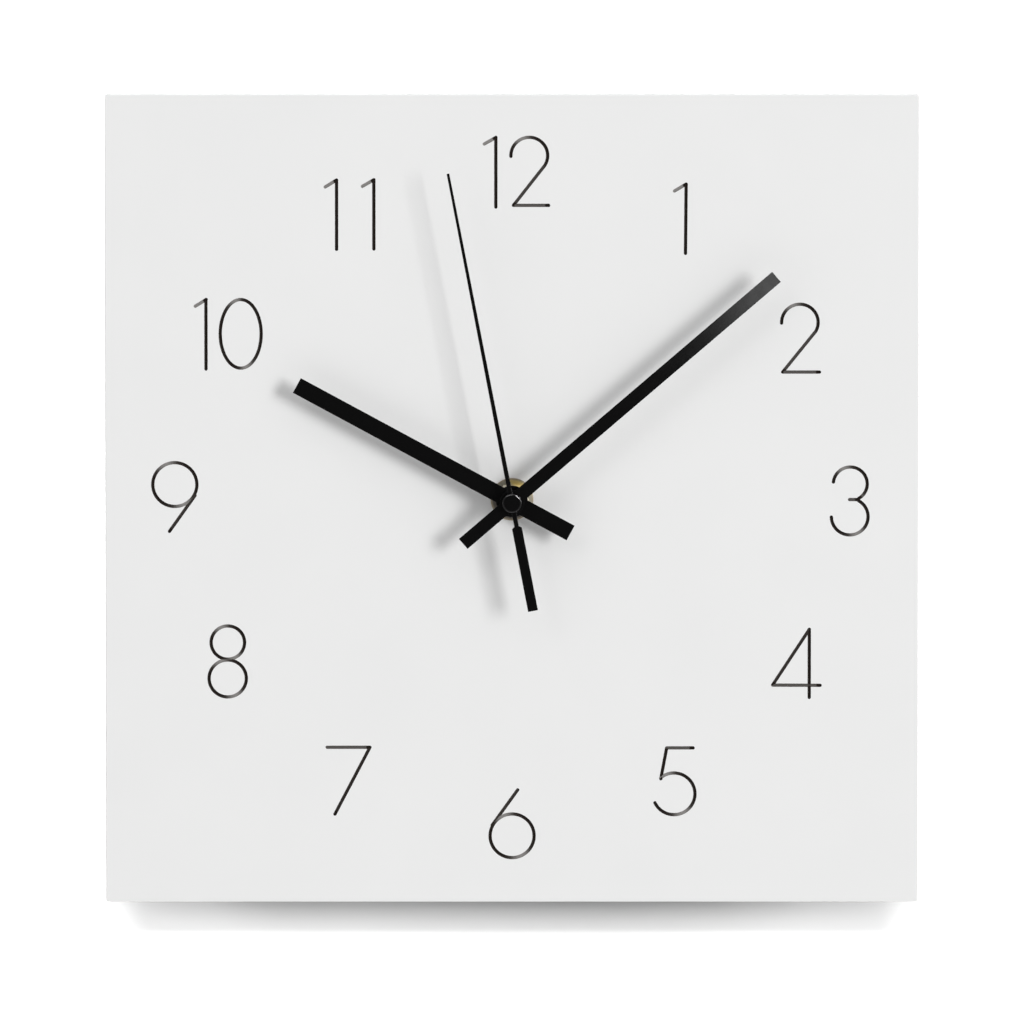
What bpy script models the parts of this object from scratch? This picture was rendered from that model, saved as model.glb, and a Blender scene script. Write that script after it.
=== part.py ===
"""Square wall clock: a white board dial carried by a quartz movement with three black hands.

Lengths are metres. The front faces -Y and +Z is up. Every piece is drawn as seen from the front,
with x to the right, y up and z out of the wall, and one empty turns that drawing upright. The
origin is on the hands' axis, at the back of the movement, which is the wall.
"""

from math import asin, atan2, cos, pi, radians, sin, sqrt

import bmesh
import bpy
from mathutils import Matrix

# Clearances
SEAT_GAP = 0.0003
RUNNING_GAP = 0.0001
FIT_GAP = 0.0001
OVERRUN = 0.0010
JOIN_DEPTH = 0.0003
MERGE = 0.0000005

# Dial board
BOARD_SIDE = 0.3000
BOARD_THICKNESS = 0.0050
BOARD_EDGE_ROUND = 0.0006
BOARD_HOLE_GAP = 0.0003

# Battery and its bay
BATTERY_DIAMETER = 0.0142
BATTERY_LENGTH = 0.0505
BATTERY_NUB_DIAMETER = 0.0055
BATTERY_NUB_LENGTH = 0.0013
BATTERY_EDGE = 0.0006
BAY_CLEARANCE = 0.0007
BAY_LIP = 0.0004
LEAF_BOW = 0.0011

# Movement case
CASE_WALL = 0.0012
CASE_CORNER_RADIUS = 0.0030
COVER_THICKNESS = 0.0013
TRAIN_CLEARANCE = 0.0007
MID_PLATE_THICKNESS = 0.0010
MID_PLATE_MARGIN = 0.0014
POST_RADIUS = 0.0014
POST_INSET = 0.0038
BOSS_RADIUS = 0.0013
BOSS_HEIGHT = 0.0006
PIVOT_RADIUS = 0.0004
PIVOT_LENGTH = 0.0009
SNAP_THICKNESS = 0.0008
SNAP_WIDTH = 0.0040
SNAP_LENGTH = 0.0044
SNAP_BARB = 0.0009
SNAP_BARB_HEIGHT = 0.0014
SNAP_PLACE = 0.0190

# Threaded bushing, gasket, washer and nut
THREAD_RADIUS = 0.0039
FLANGE_RADIUS = 0.0052
FLANGE_THICKNESS = 0.0016
GASKET_RADIUS = 0.0090
GASKET_THICKNESS = 0.0007
WASHER_RADIUS = 0.0079
WASHER_THICKNESS = 0.0005
NUT_ACROSS_FLATS = 0.0110
NUT_THICKNESS = 0.0022
THREAD_END = 0.0009

# Hanger
HANGER_THICKNESS = 0.0010
HANGER_TAB_WIDTH = 0.0160
HANGER_TAB_DEPTH = 0.0022
HANGER_WIDTH = 0.0240
HANGER_RIM = 0.0030
HANGER_OPENING_WIDTH = 0.0140
HANGER_OPENING_HEIGHT = 0.0052
HANGER_TOOTH = 0.0013
HANGER_TOOTH_COUNT = 5

# Wheel train: numbers of teeth
ROTOR_TEETH = 8
INTERMEDIATE_TEETH = 48
INTERMEDIATE_PINION_TEETH = 8
SECOND_TEETH = 40
SECOND_PINION_TEETH = 8
THIRD_TEETH = 60
THIRD_PINION_TEETH = 8
CENTRE_TEETH = 64
MINUTE_PINION_TEETH = 12
MOTION_TEETH = 36
MOTION_PINION_TEETH = 10
HOUR_TEETH = 40
SETTING_TEETH = 12

# Wheel train: tooth sizes and places
ROTOR_MODULE = 0.00022
SECOND_MODULE = 0.00030
THIRD_MODULE = 0.00030
MOTION_MODULE = 0.00040
INTERMEDIATE_DIRECTION = radians(0)
ROTOR_DIRECTION = radians(0)
THIRD_DIRECTION = radians(180)
MOTION_DIRECTION = radians(90)
SETTING_DIRECTION = radians(135)
ADDENDUM_SHARE = 0.90
DEDENDUM_SHARE = 1.15
TOOTH_TIP_SHARE = 0.11
TOOTH_ROOT_SHARE = 0.29

# Wheel train: levels
WHEEL_THICKNESS = 0.0008
COVER_TO_WHEEL = 0.0015
LEVEL_GAP = 0.0006
PINION_LENGTH = 0.0015
CLUTCH_THICKNESS = 0.0002
CLUTCH_RING_RADIUS = 0.0028
CLUTCH_ARM_REACH = 0.0062
CLUTCH_ARM_WIDTH = 0.0016
CLUTCH_ARMS = 3

# Arbors and pipes
SECOND_ARBOR_RADIUS = 0.0005
MINUTE_PIPE_RADIUS = 0.0015
HOUR_PIPE_RADIUS = 0.0025
HOUR_HUB_RADIUS = 0.0034
RETAINER_RADIUS = 0.0021
RETAINER_HEIGHT = 0.0004
WHEEL_ARBOR_RADIUS = 0.0006
SETTING_ARBOR_RADIUS = 0.0015
SETTING_END_RADIUS = 0.0010
MOTION_STUD_RADIUS = 0.0008

# Setting knob and its well
KNOB_RADIUS = 0.0062
KNOB_THICKNESS = 0.0021
KNOB_SETBACK = 0.0005
KNOB_FLUTES = 20
KNOB_FLUTE_DEPTH = 0.0005
WELL_GAP = 0.0006
WELL_WALL = 0.0008
WELL_FLOOR = 0.0009

# Stepping motor
MAGNET_RADIUS = 0.0025
MAGNET_LENGTH = 0.0020
AIR_GAP = 0.0004
STATOR_THICKNESS = 0.0010
STATOR_BAR_WIDTH = 0.0050
STATOR_POLE_RIM = 0.0012
STATOR_ARM_WIDTH = 0.0032
STATOR_BAY_GAP = 0.0006
COIL_LENGTH = 0.0180
COIL_RADIUS = 0.0028
COIL_OFFSET = 0.0082
BOBBIN_FLANGE_RADIUS = 0.0031
BOBBIN_FLANGE = 0.0008
BOBBIN_BARREL_RADIUS = 0.0020
CORE_WIDTH = 0.0024
CORE_THICKNESS = 0.0010
SCREW_RADIUS = 0.0006
SCREW_HEAD_RADIUS = 0.0012
SCREW_HEAD_HEIGHT = 0.0006

# Circuit board
PCB_THICKNESS = 0.0010
PCB_LEVEL_GAP = 0.0012
PCB_WIDTH = 0.0125
PCB_HEIGHT = 0.0100
PCB_POST_RADIUS = 0.0010
PCB_POST_INSET = 0.0017
CRYSTAL_RADIUS = 0.0010
CRYSTAL_LENGTH = 0.0062
CHIP_RADIUS = 0.0022
CHIP_HEIGHT = 0.0010

# Battery contacts
CONTACT_THICKNESS = 0.0004
CONTACT_WIDTH = 0.0080
CONTACT_HEIGHT = 0.0090
LEAD_THICKNESS = 0.0003
LEAD_HEIGHT = 0.0028
LEAD_REACH = 0.0030

# Hands
HAND_THICKNESS = 0.0005
COLLAR_RIM = 0.0010
HOUR_COLLAR_LENGTH = 0.0020
MINUTE_COLLAR_LENGTH = 0.0014
PIPE_END = 0.0002
HOUR_TIP = 0.0902
HOUR_TAIL = 0.0246
HOUR_WIDTH = 0.0062
HOUR_DISC_RADIUS = 0.0059
HOUR_ANGLE = radians(151.5)
MINUTE_TIP = 0.1283
MINUTE_TAIL = 0.0237
MINUTE_WIDTH = 0.0049
MINUTE_DISC_RADIUS = 0.0045
MINUTE_ANGLE = radians(40.65)
SECOND_TIP = 0.1242
SECOND_TAIL = 0.0409
SECOND_HUB_WIDTH = 0.0017
SECOND_TIP_WIDTH = 0.0010
SECOND_WEIGHT_WIDTH = 0.0037
SECOND_WEIGHT_START = 0.0089
SECOND_WEIGHT_CHAMFER = 0.0007
SECOND_BLADE_THICKNESS = 0.0003
SECOND_DISC_RADIUS = 0.0026
SECOND_TUBE_RADIUS = 0.0011
SECOND_ANGLE = radians(100.93)
CAP_RADIUS = 0.0035
CAP_HEIGHT = 0.0014
CAP_ROUND = 0.0005

# Facets of round pieces
FINE_STEPS = 32
ROUND_STEPS = 24
SMALL_STEPS = 12
CORNER_STEPS = 4
SHARP_ANGLE = radians(35)

# Colours: red, green, blue, roughness, metallic
WHITE_LACQUER = (0.83, 0.83, 0.82, 0.30, 0)
BLACK_LACQUER = (0.01, 0.01, 0.01, 0.25, 0)
BLACK_PLASTIC = (0.02, 0.02, 0.02, 0.45, 0)
BRASS = (0.72, 0.52, 0.22, 0.30, 1)
STEEL = (0.55, 0.55, 0.56, 0.35, 1)
RUBBER = (0.02, 0.02, 0.02, 0.80, 0)
NATURAL_PLASTIC = (0.75, 0.73, 0.66, 0.40, 0)
GREEN_BOARD = (0.04, 0.20, 0.08, 0.50, 0)
COPPER = (0.65, 0.25, 0.10, 0.35, 1)
BATTERY_GREY = (0.30, 0.31, 0.33, 0.30, 0)

# Mesh distances of the train
rotor_mesh = (ROTOR_TEETH + INTERMEDIATE_TEETH) * ROTOR_MODULE / 2
second_mesh = (INTERMEDIATE_PINION_TEETH + SECOND_TEETH) * SECOND_MODULE / 2
third_mesh = (SECOND_PINION_TEETH + THIRD_TEETH) * THIRD_MODULE / 2
CENTRE_MODULE = 2 * third_mesh / (THIRD_PINION_TEETH + CENTRE_TEETH)
motion_mesh = (MINUTE_PINION_TEETH + MOTION_TEETH) * MOTION_MODULE / 2
HOUR_MODULE = 2 * motion_mesh / (MOTION_PINION_TEETH + HOUR_TEETH)
setting_mesh = (MOTION_TEETH + SETTING_TEETH) * MOTION_MODULE / 2


def polar(origin, direction, distance):
    return (origin[0] + distance * cos(direction), origin[1] + distance * sin(direction))


def tip_radius(teeth, module):
    return module * (teeth / 2 + ADDENDUM_SHARE)


# Axes, as seen from the front
CENTRE = (0, 0)
intermediate_axis = polar(CENTRE, INTERMEDIATE_DIRECTION, second_mesh)
rotor_axis = polar(intermediate_axis, ROTOR_DIRECTION, rotor_mesh)
third_axis = polar(CENTRE, THIRD_DIRECTION, third_mesh)
motion_axis = polar(CENTRE, MOTION_DIRECTION, motion_mesh)
setting_axis = polar(motion_axis, SETTING_DIRECTION, setting_mesh)

# Case outline, from the train and the battery below it
train_radius = max(tip_radius(CENTRE_TEETH, CENTRE_MODULE), tip_radius(THIRD_TEETH, THIRD_MODULE))
bay_top = -train_radius - TRAIN_CLEARANCE - CASE_WALL
bay_height = BATTERY_DIAMETER + 2 * BAY_CLEARANCE
bay_length = BATTERY_LENGTH + LEAF_BOW + 2 * (SEAT_GAP + CONTACT_THICKNESS + SEAT_GAP)
coil_x = rotor_axis[0] + COIL_OFFSET
coil_edge = coil_x + BOBBIN_FLANGE_RADIUS + SEAT_GAP + SNAP_THICKNESS + SEAT_GAP
inner_half = max(bay_height - bay_top, bay_length / 2, coil_edge)
bay_bottom = -inner_half
case_half = inner_half + CASE_WALL
case_back = COVER_THICKNESS + SEAT_GAP
battery_height = bay_bottom + BAY_CLEARANCE + BATTERY_DIAMETER / 2
battery_level = SEAT_GAP + BATTERY_DIAMETER / 2

# Levels of the train, from the wall outwards
boss_front = COVER_THICKNESS + BOSS_HEIGHT
second_wheel_back = COVER_THICKNESS + COVER_TO_WHEEL
second_wheel_front = second_wheel_back + WHEEL_THICKNESS
third_wheel_back = second_wheel_front + LEVEL_GAP
third_wheel_front = third_wheel_back + WHEEL_THICKNESS
mid_plate_back = third_wheel_front + SEAT_GAP
mid_plate_front = mid_plate_back + MID_PLATE_THICKNESS
centre_wheel_back = mid_plate_front + SEAT_GAP
centre_wheel_front = centre_wheel_back + WHEEL_THICKNESS
clutch_back = centre_wheel_front + SEAT_GAP
clutch_front = clutch_back + CLUTCH_THICKNESS
minute_pinion_back = clutch_front + SEAT_GAP
minute_pinion_front = minute_pinion_back + PINION_LENGTH
motion_wheel_back = minute_pinion_back + SEAT_GAP
motion_wheel_front = motion_wheel_back + WHEEL_THICKNESS
hour_wheel_back = minute_pinion_front + SEAT_GAP
hour_wheel_front = hour_wheel_back + WHEEL_THICKNESS
motion_pinion_front = hour_wheel_front + SEAT_GAP
train_depth = motion_pinion_front + SEAT_GAP + FLANGE_THICKNESS + SEAT_GAP
case_floor = max(SEAT_GAP + BATTERY_DIAMETER + SEAT_GAP, train_depth)
case_depth = case_floor + CASE_WALL
flange_front = case_floor - SEAT_GAP
flange_back = flange_front - FLANGE_THICKNESS

# Levels in front of the case
gasket_back = case_depth + SEAT_GAP
gasket_front = gasket_back + GASKET_THICKNESS
board_back = gasket_front + SEAT_GAP
board_front = board_back + BOARD_THICKNESS
washer_back = board_front + SEAT_GAP
washer_front = washer_back + WASHER_THICKNESS
nut_back = washer_front + SEAT_GAP
nut_front = nut_back + NUT_THICKNESS
thread_front = nut_front + THREAD_END
hour_collar_back = thread_front + SEAT_GAP
hour_collar_front = hour_collar_back + HOUR_COLLAR_LENGTH
hour_hand_back = hour_collar_front + SEAT_GAP
hour_hand_front = hour_hand_back + HAND_THICKNESS
hour_pipe_front = hour_hand_front + PIPE_END
minute_collar_back = hour_pipe_front + SEAT_GAP
minute_collar_front = minute_collar_back + MINUTE_COLLAR_LENGTH
minute_hand_back = minute_collar_front + SEAT_GAP
minute_hand_front = minute_hand_back + HAND_THICKNESS
minute_pipe_front = minute_hand_front + PIPE_END
second_tube_back = minute_pipe_front + SEAT_GAP
blade_back = second_tube_back + COLLAR_RIM
blade_front = blade_back + SECOND_BLADE_THICKNESS
cap_back = blade_front + SEAT_GAP
cap_front = cap_back + CAP_HEIGHT

# Bores
second_bore = SECOND_ARBOR_RADIUS + FIT_GAP
minute_bore = SECOND_ARBOR_RADIUS + RUNNING_GAP
hour_bore = MINUTE_PIPE_RADIUS + RUNNING_GAP
bushing_bore = HOUR_PIPE_RADIUS + RUNNING_GAP
thread_hole = THREAD_RADIUS + BOARD_HOLE_GAP
pivot_hole = PIVOT_RADIUS + FIT_GAP

for old in list(bpy.data.objects):
    bpy.data.objects.remove(old, do_unlink=True)
scene = bpy.context.scene
parts = bpy.data.collections.new("square_wall_clock")
helpers = bpy.data.collections.new("cutters")
scene.collection.children.link(parts)
scene.collection.children.link(helpers)
drawing = bpy.data.objects.new("clock_front_view", None)
drawing.rotation_euler = (pi / 2, 0, 0)
parts.objects.link(drawing)


# Flat outlines, as lists of points
def circle(radius, centre=CENTRE, steps=ROUND_STEPS):
    return [polar(centre, 2 * pi * i / steps, radius) for i in range(steps)]


def arc(centre, radius, start, end, steps=CORNER_STEPS):
    return [polar(centre, start + (end - start) * i / steps, radius) for i in range(steps + 1)]


def rectangle(left, bottom, right, top):
    return [(left, bottom), (right, bottom), (right, top), (left, top)]


def rounded_rectangle(left, bottom, right, top, radius):
    points = arc((right - radius, top - radius), radius, 0, pi / 2)
    points += arc((left + radius, top - radius), radius, pi / 2, pi)
    points += arc((left + radius, bottom + radius), radius, pi, 3 * pi / 2)
    points += arc((right - radius, bottom + radius), radius, 3 * pi / 2, 2 * pi)
    return points


def gear_outline(teeth, module, turn):
    """Straight-sided teeth on a root circle, the first one centred on the angle turn."""
    root = module * (teeth / 2 - DEDENDUM_SHARE)
    tip = tip_radius(teeth, module)
    corners = (
        (root, -TOOTH_ROOT_SHARE),
        (tip, -TOOTH_TIP_SHARE),
        (tip, TOOTH_TIP_SHARE),
        (root, TOOTH_ROOT_SHARE),
    )
    pitch = 2 * pi / teeth
    return [
        polar(CENTRE, turn + (tooth + share) * pitch, radius)
        for tooth in range(teeth)
        for radius, share in corners
    ]


def meshing_turn(direction, teeth, turn, other_teeth):
    """The turn of a wheel that lies in this direction from one with these teeth and this turn."""
    phase = (direction - turn) * teeth / (2 * pi)
    return direction + pi - (0.5 - phase) * 2 * pi / other_teeth


# Closed meshes
def evaluated_mesh(guide):
    """The guide's mesh, merged, with its level faces flat and the others smooth. The guide is removed."""
    scene.collection.objects.link(guide)
    bpy.context.view_layer.update()
    graph = bpy.context.evaluated_depsgraph_get()
    mesh = bpy.data.meshes.new_from_object(guide.evaluated_get(graph))
    bpy.data.objects.remove(guide, do_unlink=True)
    merged = bmesh.new()
    merged.from_mesh(mesh)
    bmesh.ops.remove_doubles(merged, verts=merged.verts, dist=MERGE)
    bmesh.ops.recalc_face_normals(merged, faces=merged.faces)
    merged.to_mesh(mesh)
    merged.free()
    mesh.shade_smooth()
    mesh.set_sharp_from_angle(angle=SHARP_ANGLE)
    for face in mesh.polygons:
        face.use_smooth = abs(face.normal.z) < cos(SHARP_ANGLE)
    return mesh


def curve_guide(outlines, half_height, closed):
    curve = bpy.data.curves.new("outline", "CURVE")
    curve.dimensions = "2D"
    curve.fill_mode = "BOTH" if closed else "NONE"
    curve.extrude = half_height
    for points in outlines:
        spline = curve.splines.new("POLY")
        spline.points.add(len(points) - 1)
        for target, (x, y) in zip(spline.points, points):
            target.co = (x, y, 0, 1)
        spline.use_cyclic_u = closed
    return bpy.data.objects.new("outline", curve)


def moved(mesh, offset):
    shape = bmesh.new()
    shape.from_mesh(mesh)
    bmesh.ops.translate(shape, verts=shape.verts, vec=offset)
    shape.to_mesh(mesh)
    shape.free()
    return mesh


def prism(outlines, back, front):
    """A flat plate between two levels: the first outline less the holes that the others draw."""
    mesh = evaluated_mesh(curve_guide(outlines, (front - back) / 2, True))
    return moved(mesh, (0, 0, (back + front) / 2))


def ribbon(path, thickness, back, front):
    """A strip of sheet metal bent along a path, standing between two levels."""
    guide = curve_guide([path], (front - back) / 2, False)
    sheet = bpy.data.objects.new("ribbon", evaluated_mesh(guide))
    wall = sheet.modifiers.new("thickness", "SOLIDIFY")
    wall.thickness = thickness
    wall.offset = 0
    wall.use_even_offset = True
    return moved(evaluated_mesh(sheet), (0, 0, (back + front) / 2))


def turned(profile, steps=ROUND_STEPS, loop=False):
    """A profile of radius and level, listed front to back on its outer side, turned about z."""
    mesh = bpy.data.meshes.new("profile")
    edges = [(i, i + 1) for i in range(len(profile) - 1)]
    if loop:
        edges.append((len(profile) - 1, 0))
    mesh.from_pydata([(radius, 0, level) for radius, level in profile], edges, [])
    guide = bpy.data.objects.new("profile", mesh)
    screw = guide.modifiers.new("turn", "SCREW")
    screw.steps = steps
    screw.render_steps = steps
    screw.use_merge_vertices = True
    screw.merge_threshold = MERGE
    return evaluated_mesh(guide)


def rod(radius, back, front, centre=CENTRE, steps=SMALL_STEPS):
    return moved(turned([(0, front), (radius, front), (radius, back), (0, back)], steps), (*centre, 0))


def ring(inner, outer, back, front, steps=ROUND_STEPS):
    return turned([(outer, front), (outer, back), (inner, back), (inner, front)], steps, loop=True)


def block(low, high):
    """A box between two corners."""
    shape = bmesh.new()
    bmesh.ops.create_cube(shape, size=1)
    size = [b - a for a, b in zip(low, high)]
    bmesh.ops.scale(shape, verts=shape.verts, vec=size)
    bmesh.ops.translate(shape, verts=shape.verts, vec=[(a + b) / 2 for a, b in zip(low, high)])
    mesh = bpy.data.meshes.new("block")
    shape.to_mesh(mesh)
    shape.free()
    return mesh


def together(meshes):
    """Closed meshes that don't meet, as one helper."""
    shape = bmesh.new()
    for mesh in meshes:
        shape.from_mesh(mesh)
    joined = bpy.data.meshes.new("group")
    shape.to_mesh(joined)
    shape.free()
    return joined


# Objects
def material(name, colour):
    if name in bpy.data.materials:
        return bpy.data.materials[name]
    made = bpy.data.materials.new(name)
    made.use_nodes = True
    shader = made.node_tree.nodes["Principled BSDF"]
    shader.inputs["Base Color"].default_value = (*colour[:3], 1)
    shader.inputs["Roughness"].default_value = colour[3]
    shader.inputs["Metallic"].default_value = colour[4]
    return made


def combine(target, mesh, operation):
    helper = bpy.data.objects.new(f"{target.name}_{operation.lower()}", mesh)
    helper.parent = target
    helper.hide_render = True
    helper.display_type = "WIRE"
    helpers.objects.link(helper)
    boolean = target.modifiers.new(operation.lower(), "BOOLEAN")
    boolean.operation = operation
    boolean.object = helper


def piece(name, mesh, colour, place=(0, 0, 0), turn=(0, 0, 0), joins=(), cuts=(), rounding=0):
    """One sub-part. Joins are added to the mesh one by one, and then the cuts are taken away."""
    made = bpy.data.objects.new(name, mesh)
    made.parent = drawing
    made.location = place
    made.rotation_euler = turn
    parts.objects.link(made)
    mesh.materials.clear()
    mesh.materials.append(material(f"{name}_finish", colour))
    if rounding:
        bevel = made.modifiers.new("rounding", "BEVEL")
        bevel.width = rounding
        bevel.segments = 2
        bevel.limit_method = "ANGLE"
    for other in joins:
        combine(made, other, "UNION")
    for other in cuts:
        combine(made, other, "DIFFERENCE")
    return made


def flat(axis):
    return (axis[0], axis[1], 0)


# Dial side
def dial_board():
    half = BOARD_SIDE / 2
    slab = block((-half, -half, board_back), (half, half, board_front))
    hole = rod(thread_hole, board_back - OVERRUN, board_front + OVERRUN, steps=FINE_STEPS)
    piece("dial_board", slab, WHITE_LACQUER, rounding=BOARD_EDGE_ROUND, cuts=[hole])


def clamping_stack():
    bushing = [
        (THREAD_RADIUS, thread_front),
        (THREAD_RADIUS, flange_front),
        (FLANGE_RADIUS, flange_front),
        (FLANGE_RADIUS, flange_back),
        (bushing_bore, flange_back),
        (bushing_bore, thread_front),
    ]
    piece("threaded_bushing", turned(bushing, ROUND_STEPS, loop=True), BRASS)
    gasket = ring(thread_hole, GASKET_RADIUS, gasket_back, gasket_front)
    piece("rubber_gasket", gasket, RUBBER)
    washer = ring(thread_hole, WASHER_RADIUS, washer_back, washer_front, FINE_STEPS)
    piece("brass_washer", washer, BRASS)
    nut_radius = NUT_ACROSS_FLATS / 2 / cos(pi / 6)
    nut = prism([circle(nut_radius, steps=6), circle(thread_hole)], nut_back, nut_front)
    piece("hex_nut", nut, BRASS)


# Movement case
post_places = (
    (POST_INSET - inner_half, POST_INSET - train_radius),
    (POST_INSET - inner_half, inner_half - POST_INSET),
    (rotor_axis[0] - MAGNET_RADIUS, inner_half - POST_INSET),
    (intermediate_axis[0], POST_RADIUS - train_radius),
)
well_radius = KNOB_RADIUS + WELL_GAP
well_floor_back = KNOB_SETBACK + KNOB_THICKNESS + SEAT_GAP
well_floor_front = well_floor_back + WELL_FLOOR
snap_wall = inner_half - SEAT_GAP
snap_sides = (-1, 1)
snap_heights = (SNAP_PLACE, bay_top + CASE_WALL + SNAP_WIDTH)
snap_front = COVER_THICKNESS + SNAP_LENGTH
barb_back = snap_front - SNAP_BARB_HEIGHT
lead_level = mid_plate_front + PCB_LEVEL_GAP + PCB_THICKNESS + SEAT_GAP


def window(side, middle, half_width, back, front):
    """A box through a side wall of the case."""
    near = side * (inner_half - OVERRUN)
    far = side * (case_half + OVERRUN)
    low = (min(near, far), middle - half_width, back)
    high = (max(near, far), middle + half_width, front)
    return block(low, high)


def front_case():
    outline = rounded_rectangle(-case_half, -case_half, case_half, case_half, CASE_CORNER_RADIUS)
    shell = prism([outline], case_back, case_depth)
    divider_top = bay_top + CASE_WALL
    pocket_back = case_back - OVERRUN
    train_room = block((-inner_half, divider_top, pocket_back), (inner_half, inner_half, case_floor))
    bay = block((-inner_half, bay_bottom, pocket_back), (inner_half, bay_top, case_floor))
    pockets = together([train_room, bay])
    post_front = case_floor + JOIN_DEPTH
    posts = [rod(POST_RADIUS, centre_wheel_back, post_front, place) for place in post_places]
    posts.append(rod(MOTION_STUD_RADIUS, motion_wheel_back - SEAT_GAP, post_front, motion_axis))
    third_post_back = centre_wheel_front + LEVEL_GAP + SEAT_GAP
    posts.append(rod(POST_RADIUS, third_post_back, post_front, third_axis))
    posts.append(rod(POST_RADIUS + SEAT_GAP, minute_pinion_front + SEAT_GAP, post_front, setting_axis))
    for place in pcb_post_places:
        posts.append(rod(PCB_POST_RADIUS, pcb_front + SEAT_GAP, post_front, place))
    holes = [
        rod(thread_hole, case_floor - OVERRUN, case_depth + OVERRUN, steps=ROUND_STEPS),
        rod(pivot_hole, third_post_back - OVERRUN, third_post_back + PIVOT_LENGTH + SEAT_GAP, third_axis),
        rod(
            SETTING_END_RADIUS + FIT_GAP,
            minute_pinion_front - OVERRUN,
            minute_pinion_front + SEAT_GAP + PIVOT_LENGTH + SEAT_GAP,
            setting_axis,
        ),
    ]
    half_snap = SNAP_WIDTH / 2 + SEAT_GAP
    window_front = snap_front + SEAT_GAP
    for side in snap_sides:
        for middle in snap_heights:
            holes.append(window(side, middle, half_snap, barb_back - SEAT_GAP, window_front))
        lead_outer = side * (inner_half - FIT_GAP)
        lead_inner = side * (inner_half - LEAD_THICKNESS - CONTACT_THICKNESS - 2 * SEAT_GAP)
        low = (min(lead_outer, lead_inner), bay_top - OVERRUN / 2, lead_level - SEAT_GAP)
        high = (max(lead_outer, lead_inner), divider_top + OVERRUN / 2, lead_level + LEAD_HEIGHT + SEAT_GAP)
        holes.append(block(low, high))
    half_tab = HANGER_TAB_WIDTH / 2 + SEAT_GAP
    tab_low = (-half_tab, inner_half - OVERRUN, pocket_back)
    tab_high = (half_tab, case_half + OVERRUN, case_back + SEAT_GAP + HANGER_THICKNESS + SEAT_GAP)
    holes.append(block(tab_low, tab_high))
    case = piece("front_case", shell, BLACK_PLASTIC, cuts=[pockets])
    combine(case, together(posts), "UNION")
    combine(case, together(holes), "DIFFERENCE")


def mid_plate():
    """A plate over the train, open at its right edge where the coil stands."""
    edge = snap_wall - SNAP_THICKNESS - SEAT_GAP
    low = SEAT_GAP - train_radius
    high = inner_half - MID_PLATE_MARGIN
    notch_left = coil_x - BOBBIN_FLANGE_RADIUS - SEAT_GAP
    notch_low = coil_bottom - SEAT_GAP
    notch_high = coil_bottom + COIL_LENGTH + SEAT_GAP
    outline = [
        (-edge, low),
        (edge, low),
        (edge, notch_low),
        (notch_left, notch_low),
        (notch_left, notch_high),
        (edge, notch_high),
        (edge, high),
        (-edge, high),
    ]
    third_hole = tip_radius(THIRD_PINION_TEETH, CENTRE_MODULE) + RUNNING_GAP
    holes = [
        circle(RETAINER_RADIUS + RUNNING_GAP),
        circle(third_hole, third_axis, SMALL_STEPS),
        circle(SETTING_ARBOR_RADIUS + RUNNING_GAP, setting_axis, SMALL_STEPS),
        circle(pivot_hole, intermediate_axis, SMALL_STEPS),
        circle(pivot_hole, rotor_axis, SMALL_STEPS),
    ]
    holes += [circle(SCREW_RADIUS + FIT_GAP, place, SMALL_STEPS) for place in screw_places]
    piece("mid_plate", prism([outline, *holes], mid_plate_back, mid_plate_front), NATURAL_PLASTIC)


def rear_cover():
    """The cover plate with the battery opening, the knob's well, pivot bosses, posts and snaps."""
    outline = rounded_rectangle(-case_half, -case_half, case_half, case_half, CASE_CORNER_RADIUS)
    opening = rectangle(
        BAY_LIP - inner_half, bay_bottom + BAY_LIP, inner_half - BAY_LIP, bay_top - BAY_LIP
    )
    plate = prism([outline, opening], 0, COVER_THICKNESS)
    inside = COVER_THICKNESS - JOIN_DEPTH
    pivots = (CENTRE, intermediate_axis, rotor_axis, third_axis)
    raised = [rod(BOSS_RADIUS, inside, boss_front, axis) for axis in pivots]
    raised += [rod(POST_RADIUS, inside, mid_plate_back - SEAT_GAP, place) for place in post_places]
    raised.append(rod(well_radius + WELL_WALL, inside, well_floor_front, setting_axis, ROUND_STEPS))
    for side in snap_sides:
        for middle in snap_heights:
            raised.append(snap(side, middle, inside))
    bore_back = COVER_THICKNESS / 2
    bores = [rod(pivot_hole, bore_back, boss_front + OVERRUN, axis) for axis in pivots[1:]]
    bores.append(rod(SECOND_ARBOR_RADIUS + FIT_GAP, bore_back, boss_front + OVERRUN))
    arbor_hole = SETTING_ARBOR_RADIUS + RUNNING_GAP
    well = [
        (0, well_floor_front + OVERRUN),
        (arbor_hole, well_floor_front + OVERRUN),
        (arbor_hole, well_floor_back),
        (well_radius, well_floor_back),
        (well_radius, -OVERRUN),
        (0, -OVERRUN),
    ]
    bores.append(moved(turned(well), flat(setting_axis)))
    piece("rear_cover", plate, BLACK_PLASTIC, joins=[together(raised)], cuts=[together(bores)])


def snap(side, middle, back):
    """A springy finger with a barb that clicks into the case wall's window."""
    profile = [
        (side * (snap_wall - SNAP_THICKNESS), back),
        (side * snap_wall, back),
        (side * snap_wall, barb_back),
        (side * (snap_wall + SNAP_BARB), barb_back),
        (side * snap_wall, snap_front),
        (side * (snap_wall - SNAP_THICKNESS), snap_front),
    ]
    mesh = prism([profile], -middle - SNAP_WIDTH / 2, SNAP_WIDTH / 2 - middle)
    mesh.transform(Matrix.Rotation(pi / 2, 4, "X"))
    return mesh


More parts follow.
